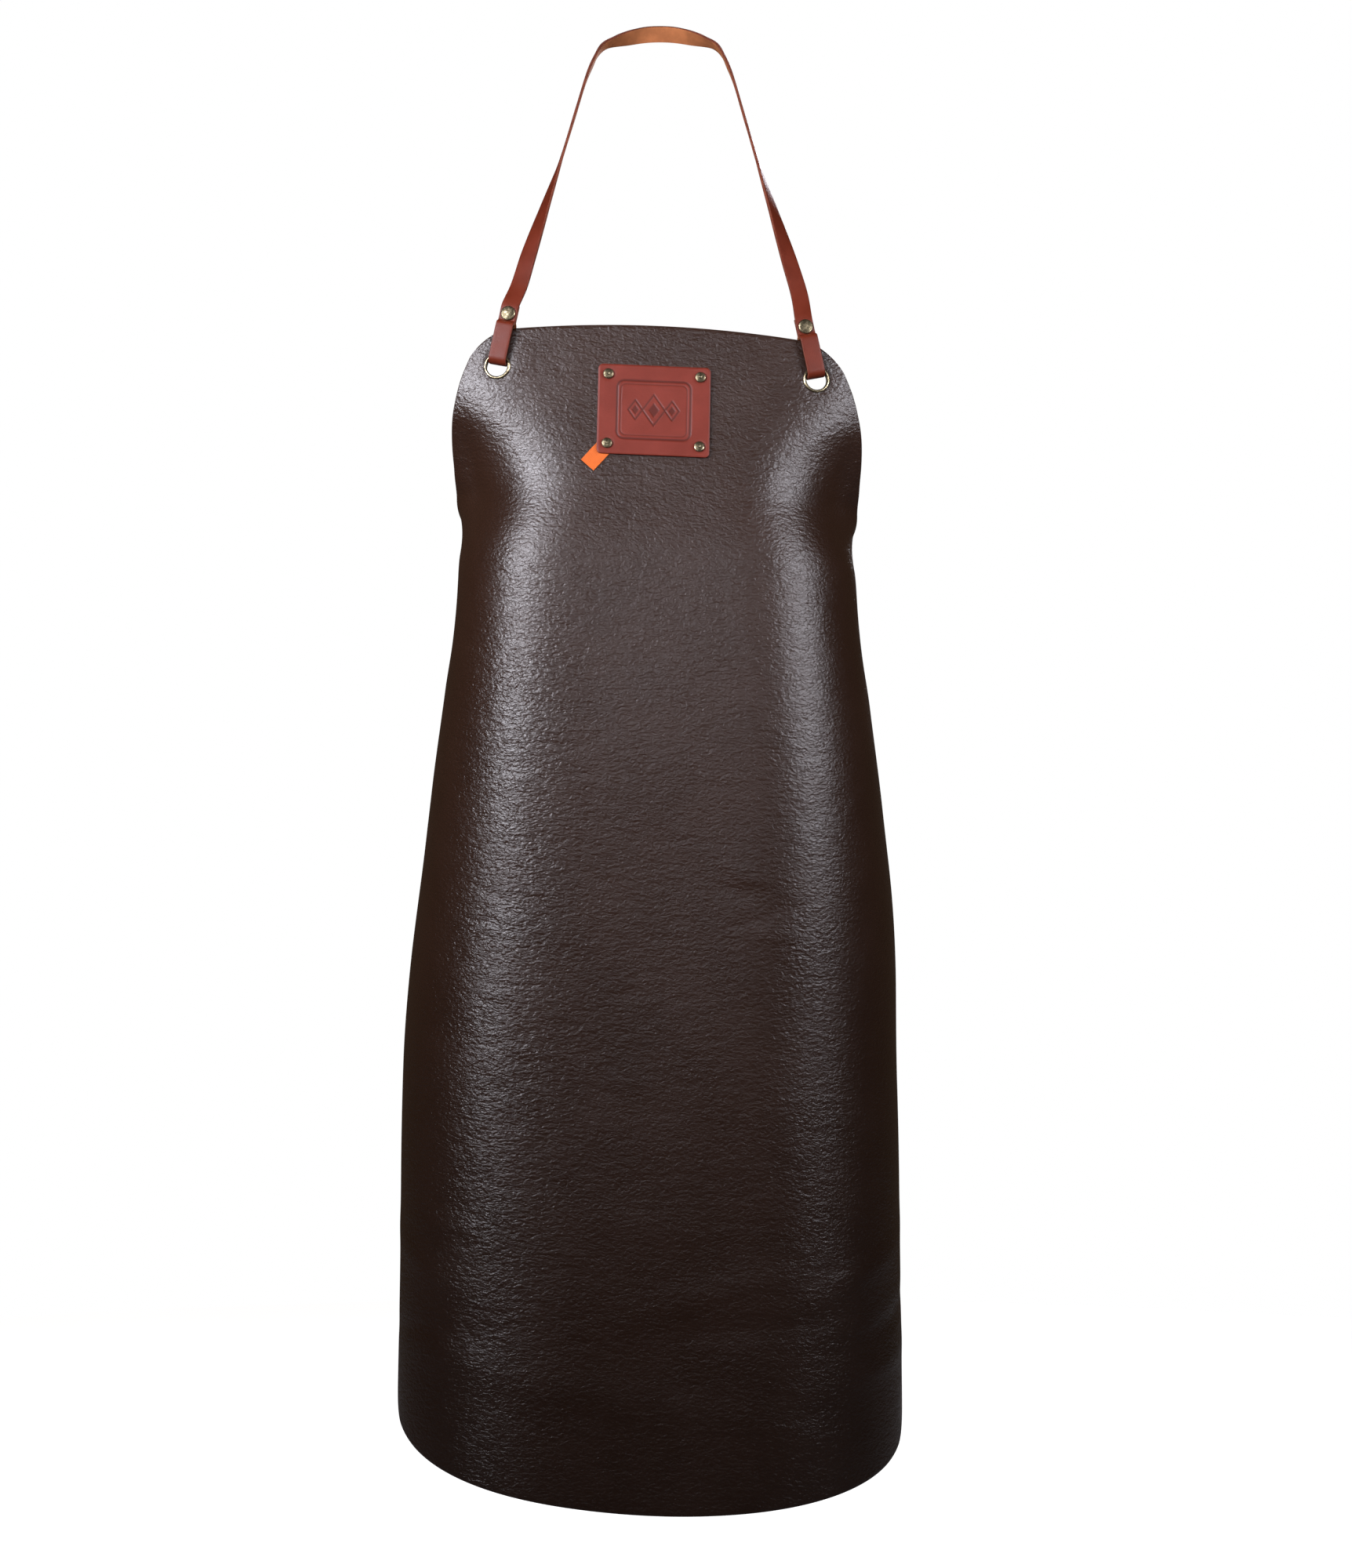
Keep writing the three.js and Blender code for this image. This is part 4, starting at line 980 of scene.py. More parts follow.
class APRON_OT_patch(Operator):
    """Build the riveted patch with its pressed generic motif"""

    bl_idname = "apron.patch"
    bl_label = "Bib patch"

    def execute(self, context):
        depth = context.scene.apron_sizes.motif_depth / MM
        columns, rows = 156, 126
        a = np.linspace(-1, 1, columns + 1) * PATCH_WIDTH / 2
        b = np.linspace(-1, 1, rows + 1) * PATCH_HEIGHT / 2
        a, b = (v.ravel() for v in np.meshgrid(a, b))
        past_a = np.maximum(0, np.abs(a) - (PATCH_WIDTH / 2 - PATCH_CORNER)) / PATCH_CORNER
        past_b = np.maximum(0, np.abs(b) - (PATCH_HEIGHT / 2 - PATCH_CORNER)) / PATCH_CORNER
        across = a - np.sign(a) * past_a * PATCH_CORNER * (1 - np.sqrt(1 - past_b ** 2 / 2))
        drop = b - np.sign(b) * past_b * PATCH_CORNER * (1 - np.sqrt(1 - past_a ** 2 / 2))
        s, t = patch_place(across, drop)
        mark = pressed_motif(across, drop)
        edge = -rounded_box(across, drop, PATCH_WIDTH / 2, PATCH_HEIGHT / 2, PATCH_CORNER)
        round_over = PATCH_ROUND_OVER * (1 - smooth(edge / 1.1))
        sunk = np.zeros_like(s)
        for sa in (-1, 1):
            for sb in (-1, 1):
                away = np.hypot(across - sa * (PATCH_WIDTH / 2 - PATCH_RIVET_INSET),
                                drop - sb * (PATCH_HEIGHT / 2 - PATCH_RIVET_INSET))
                sunk += PATCH_RIVET_SINK * (1 - smooth((away - 4.2) / 3.0))
        front = on_leather(s, t, PATCH_UNDER + PATCH_THICK - depth * mark - round_over - sunk)
        held = patch_place(-(PATCH_WIDTH / 2 - PATCH_RIVET_INSET),
                           PATCH_HEIGHT / 2 - PATCH_RIVET_INSET)
        along = (s - held[0]) * -math.sin(TAG_ANGLE) + (t - held[1]) * math.cos(TAG_ANGLE)
        beside = (s - held[0]) * math.cos(TAG_ANGLE) + (t - held[1]) * math.sin(TAG_ANGLE)
        over_tag = ((along > -TAG_TUCK - 0.9) & (along < TAG_REACH + 0.9)
                    & (np.abs(beside) < TAG_WIDTH / 2 + 0.9))
        back = on_leather(s, t, PATCH_UNDER + (TAG_THICK + GAP) * over_tag)
        faces = []
        for i in range(rows):
            for j in range(columns):
                v = i * (columns + 1) + j
                faces.append((v, v + columns + 1, v + columns + 2, v + 1))
        points, skin, kinds = walled(front, back, faces)
        kinds = np.array(kinds)
        uv = np.stack([across, drop], -1)
        make_object(
            "bib_patch", points, skin,
            [finish("patch_grain"), finish("strap_flesh"), finish("patch_edge")], kinds,
            np.vstack([uv, uv]), wear=np.concatenate([mark, mark * 0]),
            body="apron", stands_for=("badge_patch",), smooth_angle=60)
        return {"FINISHED"}


class APRON_OT_ribbon_tag(Operator):
    """Build the ribbon tag, folded double and tucked under the patch"""

    bl_idname = "apron.ribbon_tag"
    bl_label = "Ribbon tag"

    def execute(self, context):
        thick, clear = TAG_CLOTH, 0.02
        low = PATCH_UNDER + thick / 2 + clear
        high = PATCH_UNDER + TAG_THICK - thick / 2 - clear
        held = patch_place(-(PATCH_WIDTH / 2 - PATCH_RIVET_INSET),
                           PATCH_HEIGHT / 2 - PATCH_RIVET_INSET)
        fold = (high - low) / 2
        reach = TAG_REACH - fold - thick / 2

        def station(along, lift, way):
            """A place along the tag; way is its facing as shares of ahead and out."""
            s = held[0] - along * math.sin(TAG_ANGLE)
            t = held[1] + along * math.cos(TAG_ANGLE)
            at, _, _, out = leather_frame(s, t)
            ahead = unit(on_leather(s - math.sin(TAG_ANGLE), t + math.cos(TAG_ANGLE))
                         - on_leather(s + math.sin(TAG_ANGLE), t - math.cos(TAG_ANGLE)))
            return at + out * lift, ahead * way[0] + out * way[1]

        stations = []
        for along in np.linspace(-TAG_TUCK, reach, 12):
            stations.append(station(along, low, (0, -1)))
        for turn in np.linspace(-math.pi / 2, math.pi / 2, 7)[1:-1]:
            stations.append(station(reach + fold * math.cos(turn),
                                    (low + high) / 2 + fold * math.sin(turn),
                                    (math.cos(turn), math.sin(turn))))
        for along in np.linspace(reach, -TAG_TUCK, 12):
            stations.append(station(along, high, (0, 1)))
        w, h = TAG_WIDTH / 2, thick / 2
        outline = [(w - 0.1 - (2 * w - 0.2) * i / 10, h) for i in range(11)]
        outline += [(-w, 0)] + [(-a, -b) for a, b in outline] + [(w, 0)]
        cloth = finish("woven_ribbon")
        tag = strap_piece(
            "folded_ribbon", stations, TAG_WIDTH, thick, [cloth, cloth, cloth], "apron",
            ("ribbon_tag",), 0.25, ease=0,
            section=(np.array(outline), [0] * len(outline)))
        return {"FINISHED"}


# ---- Straps -------------------------------------------------------------------------------

def vec(x, y, z):
    """A point or direction."""
    return np.array([x, y, z], float)


def eyelet_frame(name):
    """Centre, out, along and down directions of an eyelet's seat in the hide."""
    at, along, down, out = leather_frame(*EYELETS[name])
    return {"at": at, "along": along, "down": down, "out": out}


def eyelet_loop(eyelet, up):
    """The loop of strap in an eyelet, from its hidden end round and out to the rivet."""
    layer = STRAP_THICK / 2 + GAP / 2
    leg = LOOP_SPREAD + STRAP_THICK / 2
    # The frame's bore has 16 flats, so the strap's corners clear the flats, not the round.
    room = (EYELET_BORE * math.cos(math.pi / 16) - GAP) ** 2 - (STRAP_WIDTH / 2) ** 2
    low = math.sqrt(room) - STRAP_THICK / 2
    bend = LOOP_BEND + STRAP_THICK / 2
    flat = leg - bend
    profile = []
    for u, share in ((0, 0), (0.25, 0.1), (0.5, 0.5), (0.75, 0.9), (1, 1)):
        height = LOOP_RIVET - CAP_RADIUS - u * (LOOP_RIVET - CAP_RADIUS - LOOP_OPEN)
        profile.append((height, layer + share * (leg - layer)))
    for i in range(6):
        turn = i / 5 * math.pi / 2
        profile.append((low + bend - bend * math.sin(turn), flat + bend * math.cos(turn)))
    at, out = eyelet["at"], eyelet["out"]

    def face(i, side):
        before = profile[max(0, i - 1)]
        after = profile[min(len(profile) - 1, i + 1)]
        du, dn = after[0] - before[0], after[1] - before[1]
        return unit(up * dn - out * du * side)

    front = [(at + up * u + out * n, face(i, 1)) for i, (u, n) in enumerate(profile)]
    back = [(at + up * u - out * n, face(i, -1)) for i, (u, n) in enumerate(profile)]
    tail = [(at + up * (LOOP_RIVET + LOOP_TAIL) - out * layer, -out),
            (at + up * LOOP_RIVET - out * layer, -out)]
    lead = [(at + up * u + out * layer, out) for u in (LOOP_RIVET, LOOP_RIVET + CAP_RADIUS)]
    return tail + back + front[::-1] + lead


def neck_up(eyelet, side):
    """The way that a neck loop's legs run up from its eyelet, leaning in to the neck."""
    up = -eyelet["down"]
    square = unit(eyelet["along"] - up * (eyelet["along"] @ up))
    lean = up * math.cos(LOOP_LEAN) - square * side * math.sin(LOOP_LEAN)
    return unit(lean - eyelet["out"] * (lean @ eyelet["out"]))


# From the nape over the shoulder to the chest on the +X side: place and facing.
SHOULDER = [
    ((28, -5, -3.5), (0.12, 0.7, 0.7)), ((44, -14, -9.5), (0.5, 0.2, 0.84)),
    ((53, -25, -18), (0.85, 0.02, 0.5)), ((58.5, -38, -31), (0.96, -0.07, 0.3)),
    ((64, -52, -47), (1, -0.12, 0.2)), ((74, -76, -86), (1, -0.15, 0.1)),
    ((86, -103, -132), (0.98, -0.26, 0.02)), ((99, -124, -176), (0.8, -0.6, 0)),
    ((111.5, -142, -219), (0.45, -0.9, 0.1)), ((119.5, -152, -248), (0.26, -0.96, 0.14)),
]


class APRON_OT_neck_strap(Operator):
    """Build the neck strap with its two riveted loops"""

    bl_idname = "apron.neck_strap"
    bl_label = "Neck strap"

    def execute(self, context):
        nape = vec(0, math.cos(NAPE_TILT), math.sin(NAPE_TILT))

        def side(sign, name):
            eyelet = eyelet_frame(name)
            loop = eyelet_loop(eyelet, neck_up(eyelet, sign))
            chest_z = eyelet["at"][2]
            run = [(vec(sign * NAPE_FLAT, 0, 0) + nape * STRAP_THICK / 2, nape)]
            for (x, y, z), (nx, ny, nz) in SHOULDER:
                skewed = z - HANG_SKEW * sign * x * (z / chest_z)
                run.append((vec(sign * x, y, skewed), unit(vec(sign * nx, ny, nz))))
            return run + loop[::-1]

        stations = side(-1, "neck_left")[::-1] + side(1, "neck_right")
        step = context.scene.apron_sizes.strap_step / MM
        strap_piece("neck_strap_leather", stations, STRAP_WIDTH, STRAP_THICK,
                    strap_finishes(), "neck", ("neck_strap",), step)
        return {"FINISHED"}


def strap_finishes():
    """Grain, flesh and edge of a strap, in the order of its face kinds."""
    return [finish("strap_grain"), finish("strap_flesh"), finish("strap_edge")]


BELT_Z = BIB_TOP_Z - WAIST_DROP
FOLD_LAYER = STRAP_THICK / 2 + GAP / 2
FOLD_BEND = BUCKLE_WIRE + GAP + STRAP_THICK / 2
ROLLER_RADIUS = BUCKLE_WIRE + GAP + ROLLER_WALL
ROLLER_X = BUCKLE_X + BUCKLE_LENGTH
TAIL_OVER = FOLD_LAYER + STRAP_THICK / 2 + GAP + CAP_HEIGHT + GAP + STRAP_THICK / 2
TAIL_OVER_BAR = max(TAIL_OVER, FOLD_BEND + STRAP_THICK + 2 * GAP)
TAIL_UNDER = -(ROLLER_RADIUS + 3 * GAP + STRAP_THICK / 2)


def behind(x, n, way=(0, 1), share=1.0):
    """A station behind the wearer, at x and at n out from the line of the strap."""
    at = vec(x, BELT_BACK_Y + n, BELT_Z - HANG_SKEW * x)
    return at, unit(vec(way[0], way[1], -HANG_SKEW * way[0])), share


def waist_run(name, sign, end_lift):
    """From a waist loop round to the straight stretch behind the wearer."""
    eyelet = eyelet_frame(name)
    back = vec(0, 1, 0)
    up = unit(back - eyelet["out"] * (back @ eyelet["out"]))
    loop = eyelet_loop(eyelet, up)
    start = loop[-1][0] + up * (LOOP_TAIL - CAP_RADIUS)
    end = behind(sign * BELT_STRAIGHT, end_lift)[0]
    elbow = vec(start[0], end[1], (start[2] + end[2]) / 2)
    control = [start, start * 0.4 + elbow * 0.6, end * 0.4 + elbow * 0.6, end]
    stations = []
    for i in range(10):
        u = i / 9
        weights = ((1 - u) ** 3, 3 * u * (1 - u) ** 2, 3 * u * u * (1 - u), u ** 3)
        at = sum(w * c for w, c in zip(weights, control))
        pull = [b - a for a, b in zip(control, control[1:])]
        run = unit((1 - u) ** 2 * pull[0] + 2 * u * (1 - u) * pull[1] + u * u * pull[2])
        round_out = unit(vec(sign * run[1], -sign * run[0], 0))
        share = float(smooth(i / 4))
        stations.append((at, unit(eyelet["out"] * (1 - share) + round_out * share)))
    return loop + stations


def tail_lift(x):
    """Height of the free half as it passes under the roller and out over the fold."""
    share = float(smooth((ROLLER_X - 4 - x) / (BUCKLE_LENGTH - 7)))
    return TAIL_UNDER + share * (TAIL_OVER_BAR - TAIL_UNDER)


def slotted(strap, slots):
    """Cut round-ended slots through a strap, at (x, n, length, width) along the back."""
    for number, (x, n, long, wide) in enumerate(slots):
        turn = np.linspace(-math.pi / 2, math.pi / 2, 9)
        ends = [(math.cos(a) * wide / 2 + long / 2 - wide / 2, math.sin(a) * wide / 2)
                for a in turn]
        outline = ends + [(-a, -b) for a, b in ends]
        count = len(outline)
        points = [behind(x, n)[0] + vec(a, y, b - HANG_SKEW * a) for y in (-6.0, 6.0)
                  for a, b in outline]
        faces = [tuple(range(count)), tuple(reversed(range(count, 2 * count)))]
        faces += [(k, k + count, (k + 1) % count + count, (k + 1) % count)
                  for k in range(count)]
        cutter = make_object(f"slot_cutter_{number}", points, faces, strap_finishes(),
                             [2] * len(faces))
        keep_outward(cutter)
        modifier = strap.modifiers.new("slot", "BOOLEAN")
        modifier.operation = "DIFFERENCE"
        modifier.solver = "EXACT"
        modifier.object = cutter
        with bpy.context.temp_override(object=strap, active_object=strap,
                                       selected_objects=[strap]):
            bpy.ops.object.modifier_apply(modifier=modifier.name)
        bpy.data.objects.remove(cutter)
    shade(strap, 50)


class APRON_OT_waist_straps(Operator):
    """Build both halves of the waist strap, the fold at the buckle and the slotted tail"""

    bl_idname = "apron.waist_straps"
    bl_label = "Waist strap"

    def execute(self, context):
        step = context.scene.apron_sizes.strap_step / MM
        left = waist_run("waist_left", -1, FOLD_LAYER)
        left += [behind(FOLD_RIVET_X - 3, FOLD_LAYER), behind(FOLD_RIVET_X + 6, FOLD_LAYER)]
        for turn in np.linspace(math.pi / 2, -math.pi / 2, 9):
            way = (math.cos(turn), math.sin(turn))
            left.append(behind(BUCKLE_X + FOLD_BEND * way[0], FOLD_BEND * way[1], way))
        left += [behind(FOLD_RIVET_X + 6, -FOLD_LAYER, (0, -1)),
                 behind(FOLD_END_X, -FOLD_LAYER, (0, -1))]
        buckle_half = strap_piece(
            "waist_strap_buckle_half", left, STRAP_WIDTH, STRAP_THICK, strap_finishes(),
            "waist_left", ("waist_strap_left",), step)
        slotted(buckle_half, [(BUCKLE_X + PRONG_SLOT_AHEAD, 0, PRONG_SLOT,
                               2 * PRONG_WIRE + 4 * GAP)])

        right = waist_run("waist_right", 1, 0)
        right += [behind(0.5 * (BELT_STRAIGHT + ROLLER_X), TAIL_UNDER * 0.3),
                  behind(ROLLER_X + 14, TAIL_UNDER * 0.85)]
        for x in np.arange(ROLLER_X + 4, BUCKLE_X - 2, -2):
            right.append(behind(x, tail_lift(x)))
        right += [behind(FOLD_RIVET_X - CAP_RADIUS - 2, TAIL_OVER), behind(TIP_X + 9, TAIL_OVER)]
        rounded_tip = ((7, 0.98), (5, 0.92), (3.2, 0.8), (1.6, 0.62), (0.5, 0.42), (0, 0.28))
        for back, share in rounded_tip:
            right.append(behind(TIP_X + back, TAIL_OVER, share=share))
        tail_half = strap_piece(
            "waist_strap_free_half", right, STRAP_WIDTH, STRAP_THICK, strap_finishes(),
            "waist_right", ("waist_strap_right",), step)
        # The prong crosses one slot; two more lie on the free end and three on the other side.
        crossing = BUCKLE_X + BUCKLE_LENGTH * 0.3
        slots = [(crossing, tail_lift(crossing), HOLE_LENGTH, HOLE_WIDTH)]
        for i in range(5):
            x = FOLD_RIVET_X - 14 - HOLE_PITCH * (i + 1) if i < 2 else crossing + HOLE_PITCH * i
            slots.append((x, TAIL_OVER if i < 2 else 0, HOLE_LENGTH, HOLE_WIDTH))
        slotted(tail_half, slots)
        return {"FINISHED"}


def belt_basis():
    """Local X along the waist strap, local Z up its width, as columns with Y out."""
    lean = math.atan(HANG_SKEW)
    return np.array([[math.cos(lean), 0, math.sin(lean)], [0, 1, 0],
                     [-math.sin(lean), 0, math.cos(lean)]])


def node_centre(name):
    """The middle and the size of a node's box, in millimetres."""
    low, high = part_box(name)
    return np.array((low + high) / 2) / MM, np.array(high - low) / MM


class APRON_OT_keeper(Operator):
    """Build the leather keeper that holds the strap's free end"""

    bl_idname = "apron.keeper"
    bl_label = "Keeper"

    def execute(self, context):
        centre, size = node_centre("keeper_loop")
        basis = belt_basis()
        wall, corner = KEEPER_WALL, KEEPER_CORNER
        tall = STRAP_WIDTH / 2 + 2 * GAP + wall / 2
        deep = size[1] / 2 - wall / 2
        stations = []
        for a, b, first in ((1, 1, 0), (-1, 1, 1), (-1, -1, 2), (1, -1, 3)):
            for i in range(7):
                turn = (first + i / 6) * math.pi / 2
                z = a * (tall - corner) + corner * math.cos(turn)
                y = b * (deep - corner) + corner * math.sin(turn)
                at = centre + basis @ vec(0, y, z)
                stations.append((at, basis @ vec(0, math.sin(turn), math.cos(turn))))
        strap_piece("keeper_leather", stations[::-1], KEEPER_LENGTH, wall, strap_finishes(),
                    "keeper", ("keeper_loop",), 0.7, closed=True,
                    corner=0.3, ease=1)
        return {"FINISHED"}


# ---- Fittings -----------------------------------------------------------------------------

def coaxial(node, partner):
    """How a round node stands on the axis it shares with its partner.

    Returns the low end of the node on that axis, the axis from the partner to the node, the
    node's height and the distances of its points from the axis.
    """
    points, other = node_points(node), node_points(partner)
    axis = unit(points.mean(0) - other.mean(0))
    centre = points.mean(0)
    height = (points - centre) @ axis
    radius = np.linalg.norm(points - centre - height[:, None] * axis, axis=1)
    return centre + axis * height.min(), axis, height.max() - height.min(), radius


class APRON_OT_eyelets(Operator):
    """Build the four rolled brass eyelets and the washers behind the hide"""

    bl_idname = "apron.eyelets"
    bl_label = "Eyelets and washers"

    def execute(self, context):
        for place in EYELETS:
            node, ring = f"eyelet_{place}", f"eyelet_washer_{place}"
            base, axis, height, radius = coaxial(node, ring)
            bore, flange = radius.min(), radius.max()
            barrel = bore + 0.5
            under = height - 1.1
            outline = rounded([
                (bore, 0.25), (bore, under - 0.3), (bore + 0.25, under + 0.75),
                (bore + 0.9, height), (bore + 1.75, height), (flange - 0.45, under + 0.72),
                (flange, under + 0.3), (flange - 0.1, under), (barrel, under),
                (barrel, 0.8), (barrel + 1.35, 0.8), (barrel + 1.2, 0.2), (barrel + 0.2, 0.0),
            ])

            # Rubbed brass rim plus painted light: the lip's inner half is painted shade, its
            # outer half a painted highlight.
            def rim_rubbing_and_painted_light(points, bore=bore, under=under):
                radial = np.hypot(points[:, 0], points[:, 1])
                raised = smooth((points[:, 2] - under) / 0.9)
                outer = smooth((radial - bore - 0.7) / 1.3)
                return np.clip(raised * (0.08 + 0.85 * outer), 0, 1)

            turned_piece(f"rolled_{node}", node, base, axis, outline, 72, rim_rubbing_and_painted_light, "apron")
            base, axis, height, radius = coaxial(ring, node)
            inner, outer = radius.min(), radius.max()
            washer = rounded([(inner, 0), (outer, 0), (outer, height), (inner, height)])
            turned_piece(f"flat_{ring}", ring, base, axis, washer, 64,
                         lambda p: 0.35 + 0.4 * (p[:, 2] > 0.4), "apron")
        return {"FINISHED"}


RIVETS = [
    ("neck_rivet_left", "neck"), ("neck_rivet_right", "neck"),
    ("waist_rivet_left", "waist_left"), ("waist_rivet_right", "waist_right"),
    ("fold_rivet", "waist_left"),
    ("patch_rivet_upper_left", "apron"), ("patch_rivet_upper_right", "apron"),
    ("patch_rivet_lower_left", "apron"), ("patch_rivet_lower_right", "apron"),
]


class APRON_OT_rivets(Operator):
    """Build the double-cap rivets: a domed cap in front and the post's head behind"""

    bl_idname = "apron.rivets"
    bl_label = "Rivets"

    def execute(self, context):
        for name, body in RIVETS:
            cap, post = f"{name}_cap", f"{name}_post"
            base, axis, height, radius = coaxial(cap, post)
            wide = radius.max()
            dome = [(wide * math.sin(a), height * (0.36 + 0.64 * math.cos(a)))
                    for a in np.linspace(0, math.pi / 2, 19)]
            if name.startswith("patch"):
                dome = [(r, z - dimple_drop(r, wide)) for r, z in dome]
            dome = [(0, dome[0][1])] + dome[1:]
            socket = max(0.25, radius[radius > 1e-3].min())
            outline = dome + [(wide, height * 0.12), (wide - 0.25, 0), (socket, 0),
                              (socket, height * 0.5), (0, height * 0.5)]
            turned_piece(f"domed_{cap}", cap, base, axis, outline, 56,
                         cap_wear(wide, height), body)
            base, axis, height, radius = coaxial(post, cap)
            head, shaft = radius.max(), radius[radius > 1e-3].min()
            lip = height - 1.0
            outline = [(0, 0), (shaft - 0.2, 0), (shaft, 0.2), (shaft, lip), (head, lip),
                       (head, lip + 0.5), (head - 0.3, lip + 0.85), (head * 0.75, height),
                       (head * 0.42, height), (head * 0.36, height - 0.3),
                       (0, height - 0.35)]
            turned_piece(f"headed_{post}", post, base, axis, outline, 48,
                         lambda p: 0.25 + 0.4 * (p[:, 2] > p[:, 2].max() - 0.3), body)
        return {"FINISHED"}


def dimple_drop(radial, wide):
    """The riveter's punch leaves a small dimple in the middle of a tubular rivet."""
    return PUNCH_DIMPLE * (1 - float(smooth((radial / wide - 0.12) / 0.22)))


def cap_wear(wide, height):
    """A cap rubs bright round its shoulder and on its crown."""
    def wear(points):
        radial = np.hypot(points[:, 0], points[:, 1]) / wide
        crown = 1 - smooth(radial / 0.5)
        shoulder = smooth((radial - 0.72) / 0.15) * (points[:, 2] > 0.2 * height)
        return np.clip(0.18 + 0.3 * crown + 0.35 * shoulder, 0, 1)
    return wear


def wire_piece(name, node, points, radii, sides, body, closed, basis, centre, aside, wear):
    """A round wire bent along local points, placed by its basis and centre."""
    points = np.asarray(points, float)
    radii = np.broadcast_to(np.asarray(radii, float), (len(points),))
    if closed:
        run = unit(np.roll(points, -1, 0) - np.roll(points, 1, 0))
    else:
        run = unit(np.gradient(points, axis=0))
    side = unit(np.cross(run, aside))
    up = np.cross(side, run)
    turn = np.linspace(0, 2 * math.pi, sides, endpoint=False)
    rings = (points[:, None] + radii[:, None, None]
             * (up[:, None] * np.cos(turn)[None, :, None]
                + side[:, None] * np.sin(turn)[None, :, None]))
    count = len(points)
    faces = []
    for i in range(count if closed else count - 1):
        here, there = i * sides, ((i + 1) % count) * sides
        for j in range(sides):
            k = (j + 1) % sides
            faces.append((here + j, here + k, there + k, there + j))
    if not closed:
        faces.append(tuple(reversed(range(sides))))
        faces.append(tuple(range((count - 1) * sides, count * sides)))
    placed = rings.reshape(-1, 3) @ basis.T + centre
    piece = make_object(name, placed, faces, [finish("aged_brass")],
                        wear=np.full(len(placed), wear), body=body, stands_for=(node,),
                        smooth_angle=50)
    keep_outward(piece)


class APRON_OT_buckle(Operator):
    """Build the buckle: its wire frame, its free roller and its tapered prong"""

    bl_idname = "apron.buckle"
    bl_label = "Buckle"

    def execute(self, context):
        basis = belt_basis()
        centre, _ = node_centre("buckle_frame")
        half_long, corner = BUCKLE_LENGTH / 2, BUCKLE_CORNER
        half_tall = BUCKLE_INSIDE / 2 + BUCKLE_WIRE
        outline = []
        for a, b, first in ((1, 1, 0), (-1, 1, 1), (-1, -1, 2), (1, -1, 3)):
            for i in range(9):
                turn = (first + i / 8) * math.pi / 2
                outline.append((a * (half_long - corner) + corner * math.cos(turn), 0,
                                b * (half_tall - corner) + corner * math.sin(turn)))
        wire_piece("buckle_wire_frame", "buckle_frame", outline, BUCKLE_WIRE, 20, "buckle",
                   True, basis, centre, vec(0, 1, 0), 0.5)

        roller_centre, _ = node_centre("buckle_roller")
        half = BUCKLE_INSIDE / 2 - corner
        tube = rounded([(BUCKLE_WIRE + GAP, -half), (ROLLER_RADIUS, -half),
                        (ROLLER_RADIUS, half), (BUCKLE_WIRE + GAP, half)], 2)
        long_tube = []
        for a, b in zip(tube, tube[1:] + tube[:1]):
            long_tube.append(a)
            if abs(a[1] - b[1]) > half:
                long_tube += [(a[0], a[1] + (b[1] - a[1]) * k / 6) for k in range(1, 6)]
        points, faces = lathe(long_tube, 40)
        roller = make_object("buckle_turning_roller", points @ basis.T + roller_centre, faces,
                             [finish("aged_brass")], wear=np.full(len(points), 0.62),
                             body="roller", stands_for=("buckle_roller",),
                             smooth_angle=40)
        keep_outward(roller)

        # The prong curls round the bar, crosses the strap and rests on the roller.
        ring = BUCKLE_WIRE + GAP + PRONG_WIRE
        rest = ROLLER_RADIUS + GAP + PRONG_WIRE
        line = []
        for i in range(29):
            turn = math.pi * (-0.12 - i / 28 * 1.38)
            line.append(vec(-half_long + ring * math.cos(turn), ring * math.sin(turn), 0))
        line += [vec(0, ring + 0.55 * (rest - ring), 0), vec(half_long + 1.5, rest, 0)]
        at, _, _ = resampled(line, [vec(0, 1, 0)] * len(line), 0.7)
        length = np.concatenate([[0], np.cumsum(np.linalg.norm(np.diff(at, axis=0), axis=1))])
        left = length[-1] - length
        radii = PRONG_WIRE * np.minimum(1, 0.72 + 0.28 * smooth(left / 8))
        radii = radii * np.sqrt(np.clip(1 - (1 - np.minimum(left / 0.8, 1)) ** 2, 0.02, 1))
        wire_piece("buckle_tapered_prong", "buckle_prong", at, radii, 16, "prong", False,
                   basis, centre, vec(0, 0, 1), 0.55)
        return {"FINISHED"}


# ---- Camera and studio --------------------------------------------------------------------

class APRON_OT_camera(Operator):
    """Put the camera level in front of the apron"""

    bl_idname = "apron.camera"
    bl_label = "Camera"

    def execute(self, context):
        lens = bpy.data.cameras.new("front_camera")
        lens.sensor_width = 36
        lens.lens = CAMERA_LENS
        lens.clip_end = 50
        camera = bpy.data.objects.new("front_camera", lens)
        camera.location = CAMERA_PLACE
        camera.rotation_euler = (math.pi / 2, 0, 0)
        context.scene.collection.objects.link(camera)
        context.scene.camera = camera
        return {"FINISHED"}


def studio_light(name, place, target, size, power, spread):
    """A soft rectangular light, pointed at its target."""
    data = bpy.data.lights.new(name, "AREA")
    data.shape = "RECTANGLE"
    data.size, data.size_y = size
    data.energy = power
    data.color = LIGHT_TINT
    data.spread = math.radians(spread)
    lamp = bpy.data.objects.new(name, data)
    lamp.location = place
    way = Vector(target) - Vector(place)
    lamp.rotation_euler = way.to_track_quat("-Z", "Y").to_euler()
    bpy.context.scene.collection.objects.link(lamp)


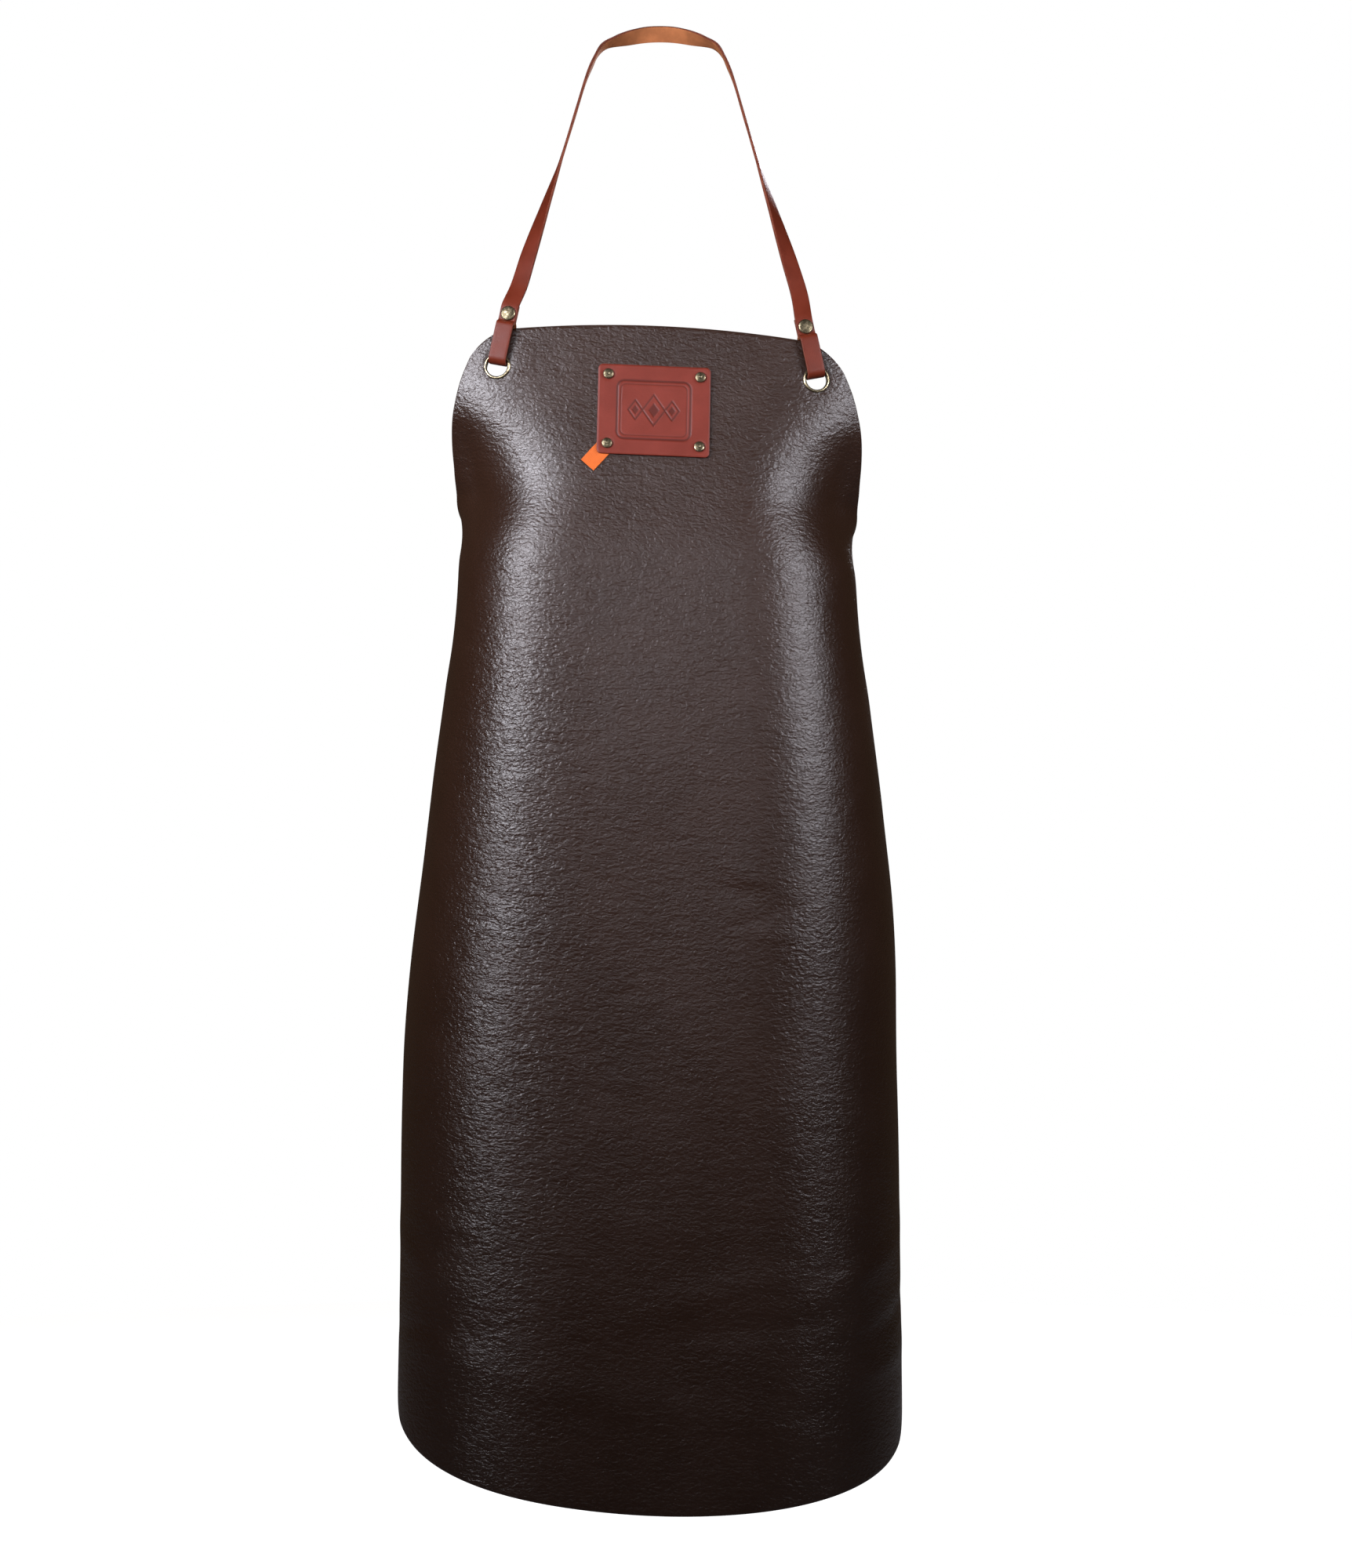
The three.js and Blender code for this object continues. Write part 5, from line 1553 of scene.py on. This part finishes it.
class APRON_OT_stage(Operator):
    """Build the pale floor, set a studio world that is white to the camera, and set the soft
    studio lights
    """

    bl_idname = "apron.stage"
    bl_label = "Studio"

    def execute(self, context):
        n = Nodes("pale_floor")
        mottle = n.noise(n.coords("Object"), 3, 2)
        pale = n.blend(n.spread(mottle, 0.3, 0.7), (0.34, 0.34, 0.34), (0.38, 0.38, 0.38))
        seen = n.tree.nodes.new("ShaderNodeLightPath").outputs["Is Camera Ray"]
        matt = n.set_shader(Base_Color=pale, Roughness=0.9, Specular_IOR_Level=0.05,
                            Emission_Color=(1, 1, 1),
                            Emission_Strength=n.spread(seen, 0, 1, 0, FLOOR_GLOW))
        turn = np.linspace(0, 2 * math.pi, 96, endpoint=False)
        rim = [(FLOOR_RADIUS / MM * math.cos(a), FLOOR_RADIUS / MM * math.sin(a), FLOOR_Z / MM)
               for a in turn]
        make_object("floor", rim, [tuple(range(len(rim)))], [matt])

        world = bpy.data.worlds.new("studio")
        world.use_nodes = True
        tree = world.node_tree
        seen = tree.nodes.new("ShaderNodeLightPath").outputs["Is Camera Ray"]
        fill = tree.nodes.new("ShaderNodeMix")
        fill.data_type = "RGBA"
        tree.links.new(seen, fill.inputs["Factor"])
        fill.inputs["A"].default_value = WARM_FILL
        fill.inputs["B"].default_value = WHITE
        tree.links.new(fill.outputs["Result"], tree.nodes["Background"].inputs["Color"])
        context.scene.world = world
        for softbox in SOFTBOXES:
            studio_light(*softbox)
        context.scene.view_settings.view_transform = "Standard"
        return {"FINISHED"}


# ---- Sidebar and start --------------------------------------------------------------------

BUILD_STEPS = (
    APRON_OT_camera, APRON_OT_hide, APRON_OT_patch, APRON_OT_ribbon_tag, APRON_OT_neck_strap,
    APRON_OT_waist_straps, APRON_OT_keeper, APRON_OT_eyelets, APRON_OT_rivets,
    APRON_OT_buckle, APRON_OT_stage,
)


class APRON_PT_sidebar(Panel):
    """Sizes, colours and building steps of the apron"""

    bl_idname = "APRON_PT_sidebar"
    bl_label = "Leather apron"
    bl_space_type = "VIEW_3D"
    bl_region_type = "UI"
    bl_category = "Apron"

    def draw(self, context):
        layout = self.layout
        for settings in (context.scene.apron_sizes, context.scene.apron_colours):
            box = layout.box()
            for name in settings.__annotations__:
                box.prop(settings, name)
        for step in BUILD_STEPS:
            layout.operator(step.bl_idname)


CLASSES = (ApronSizes, ApronColours, *BUILD_STEPS, APRON_PT_sidebar)


def register():
    """Add the apron's settings, building steps and sidebar panel."""
    for cls in CLASSES:
        bpy.utils.register_class(cls)
    bpy.types.Scene.apron_sizes = PointerProperty(type=ApronSizes)
    bpy.types.Scene.apron_colours = PointerProperty(type=ApronColours)


def unregister():
    """Take the apron's classes and settings away again."""
    del bpy.types.Scene.apron_colours
    del bpy.types.Scene.apron_sizes
    for cls in reversed(CLASSES):
        bpy.utils.unregister_class(cls)


def main():
    """Build the apron step by step."""
    register()
    bpy.ops.apron.camera()
    bpy.ops.apron.hide()
    bpy.ops.apron.patch()
    bpy.ops.apron.ribbon_tag()
    bpy.ops.apron.neck_strap()
    bpy.ops.apron.waist_straps()
    bpy.ops.apron.keeper()
    bpy.ops.apron.eyelets()
    bpy.ops.apron.rivets()
    bpy.ops.apron.buckle()
    bpy.ops.apron.stage()


if __name__ == "__main__":
    main()
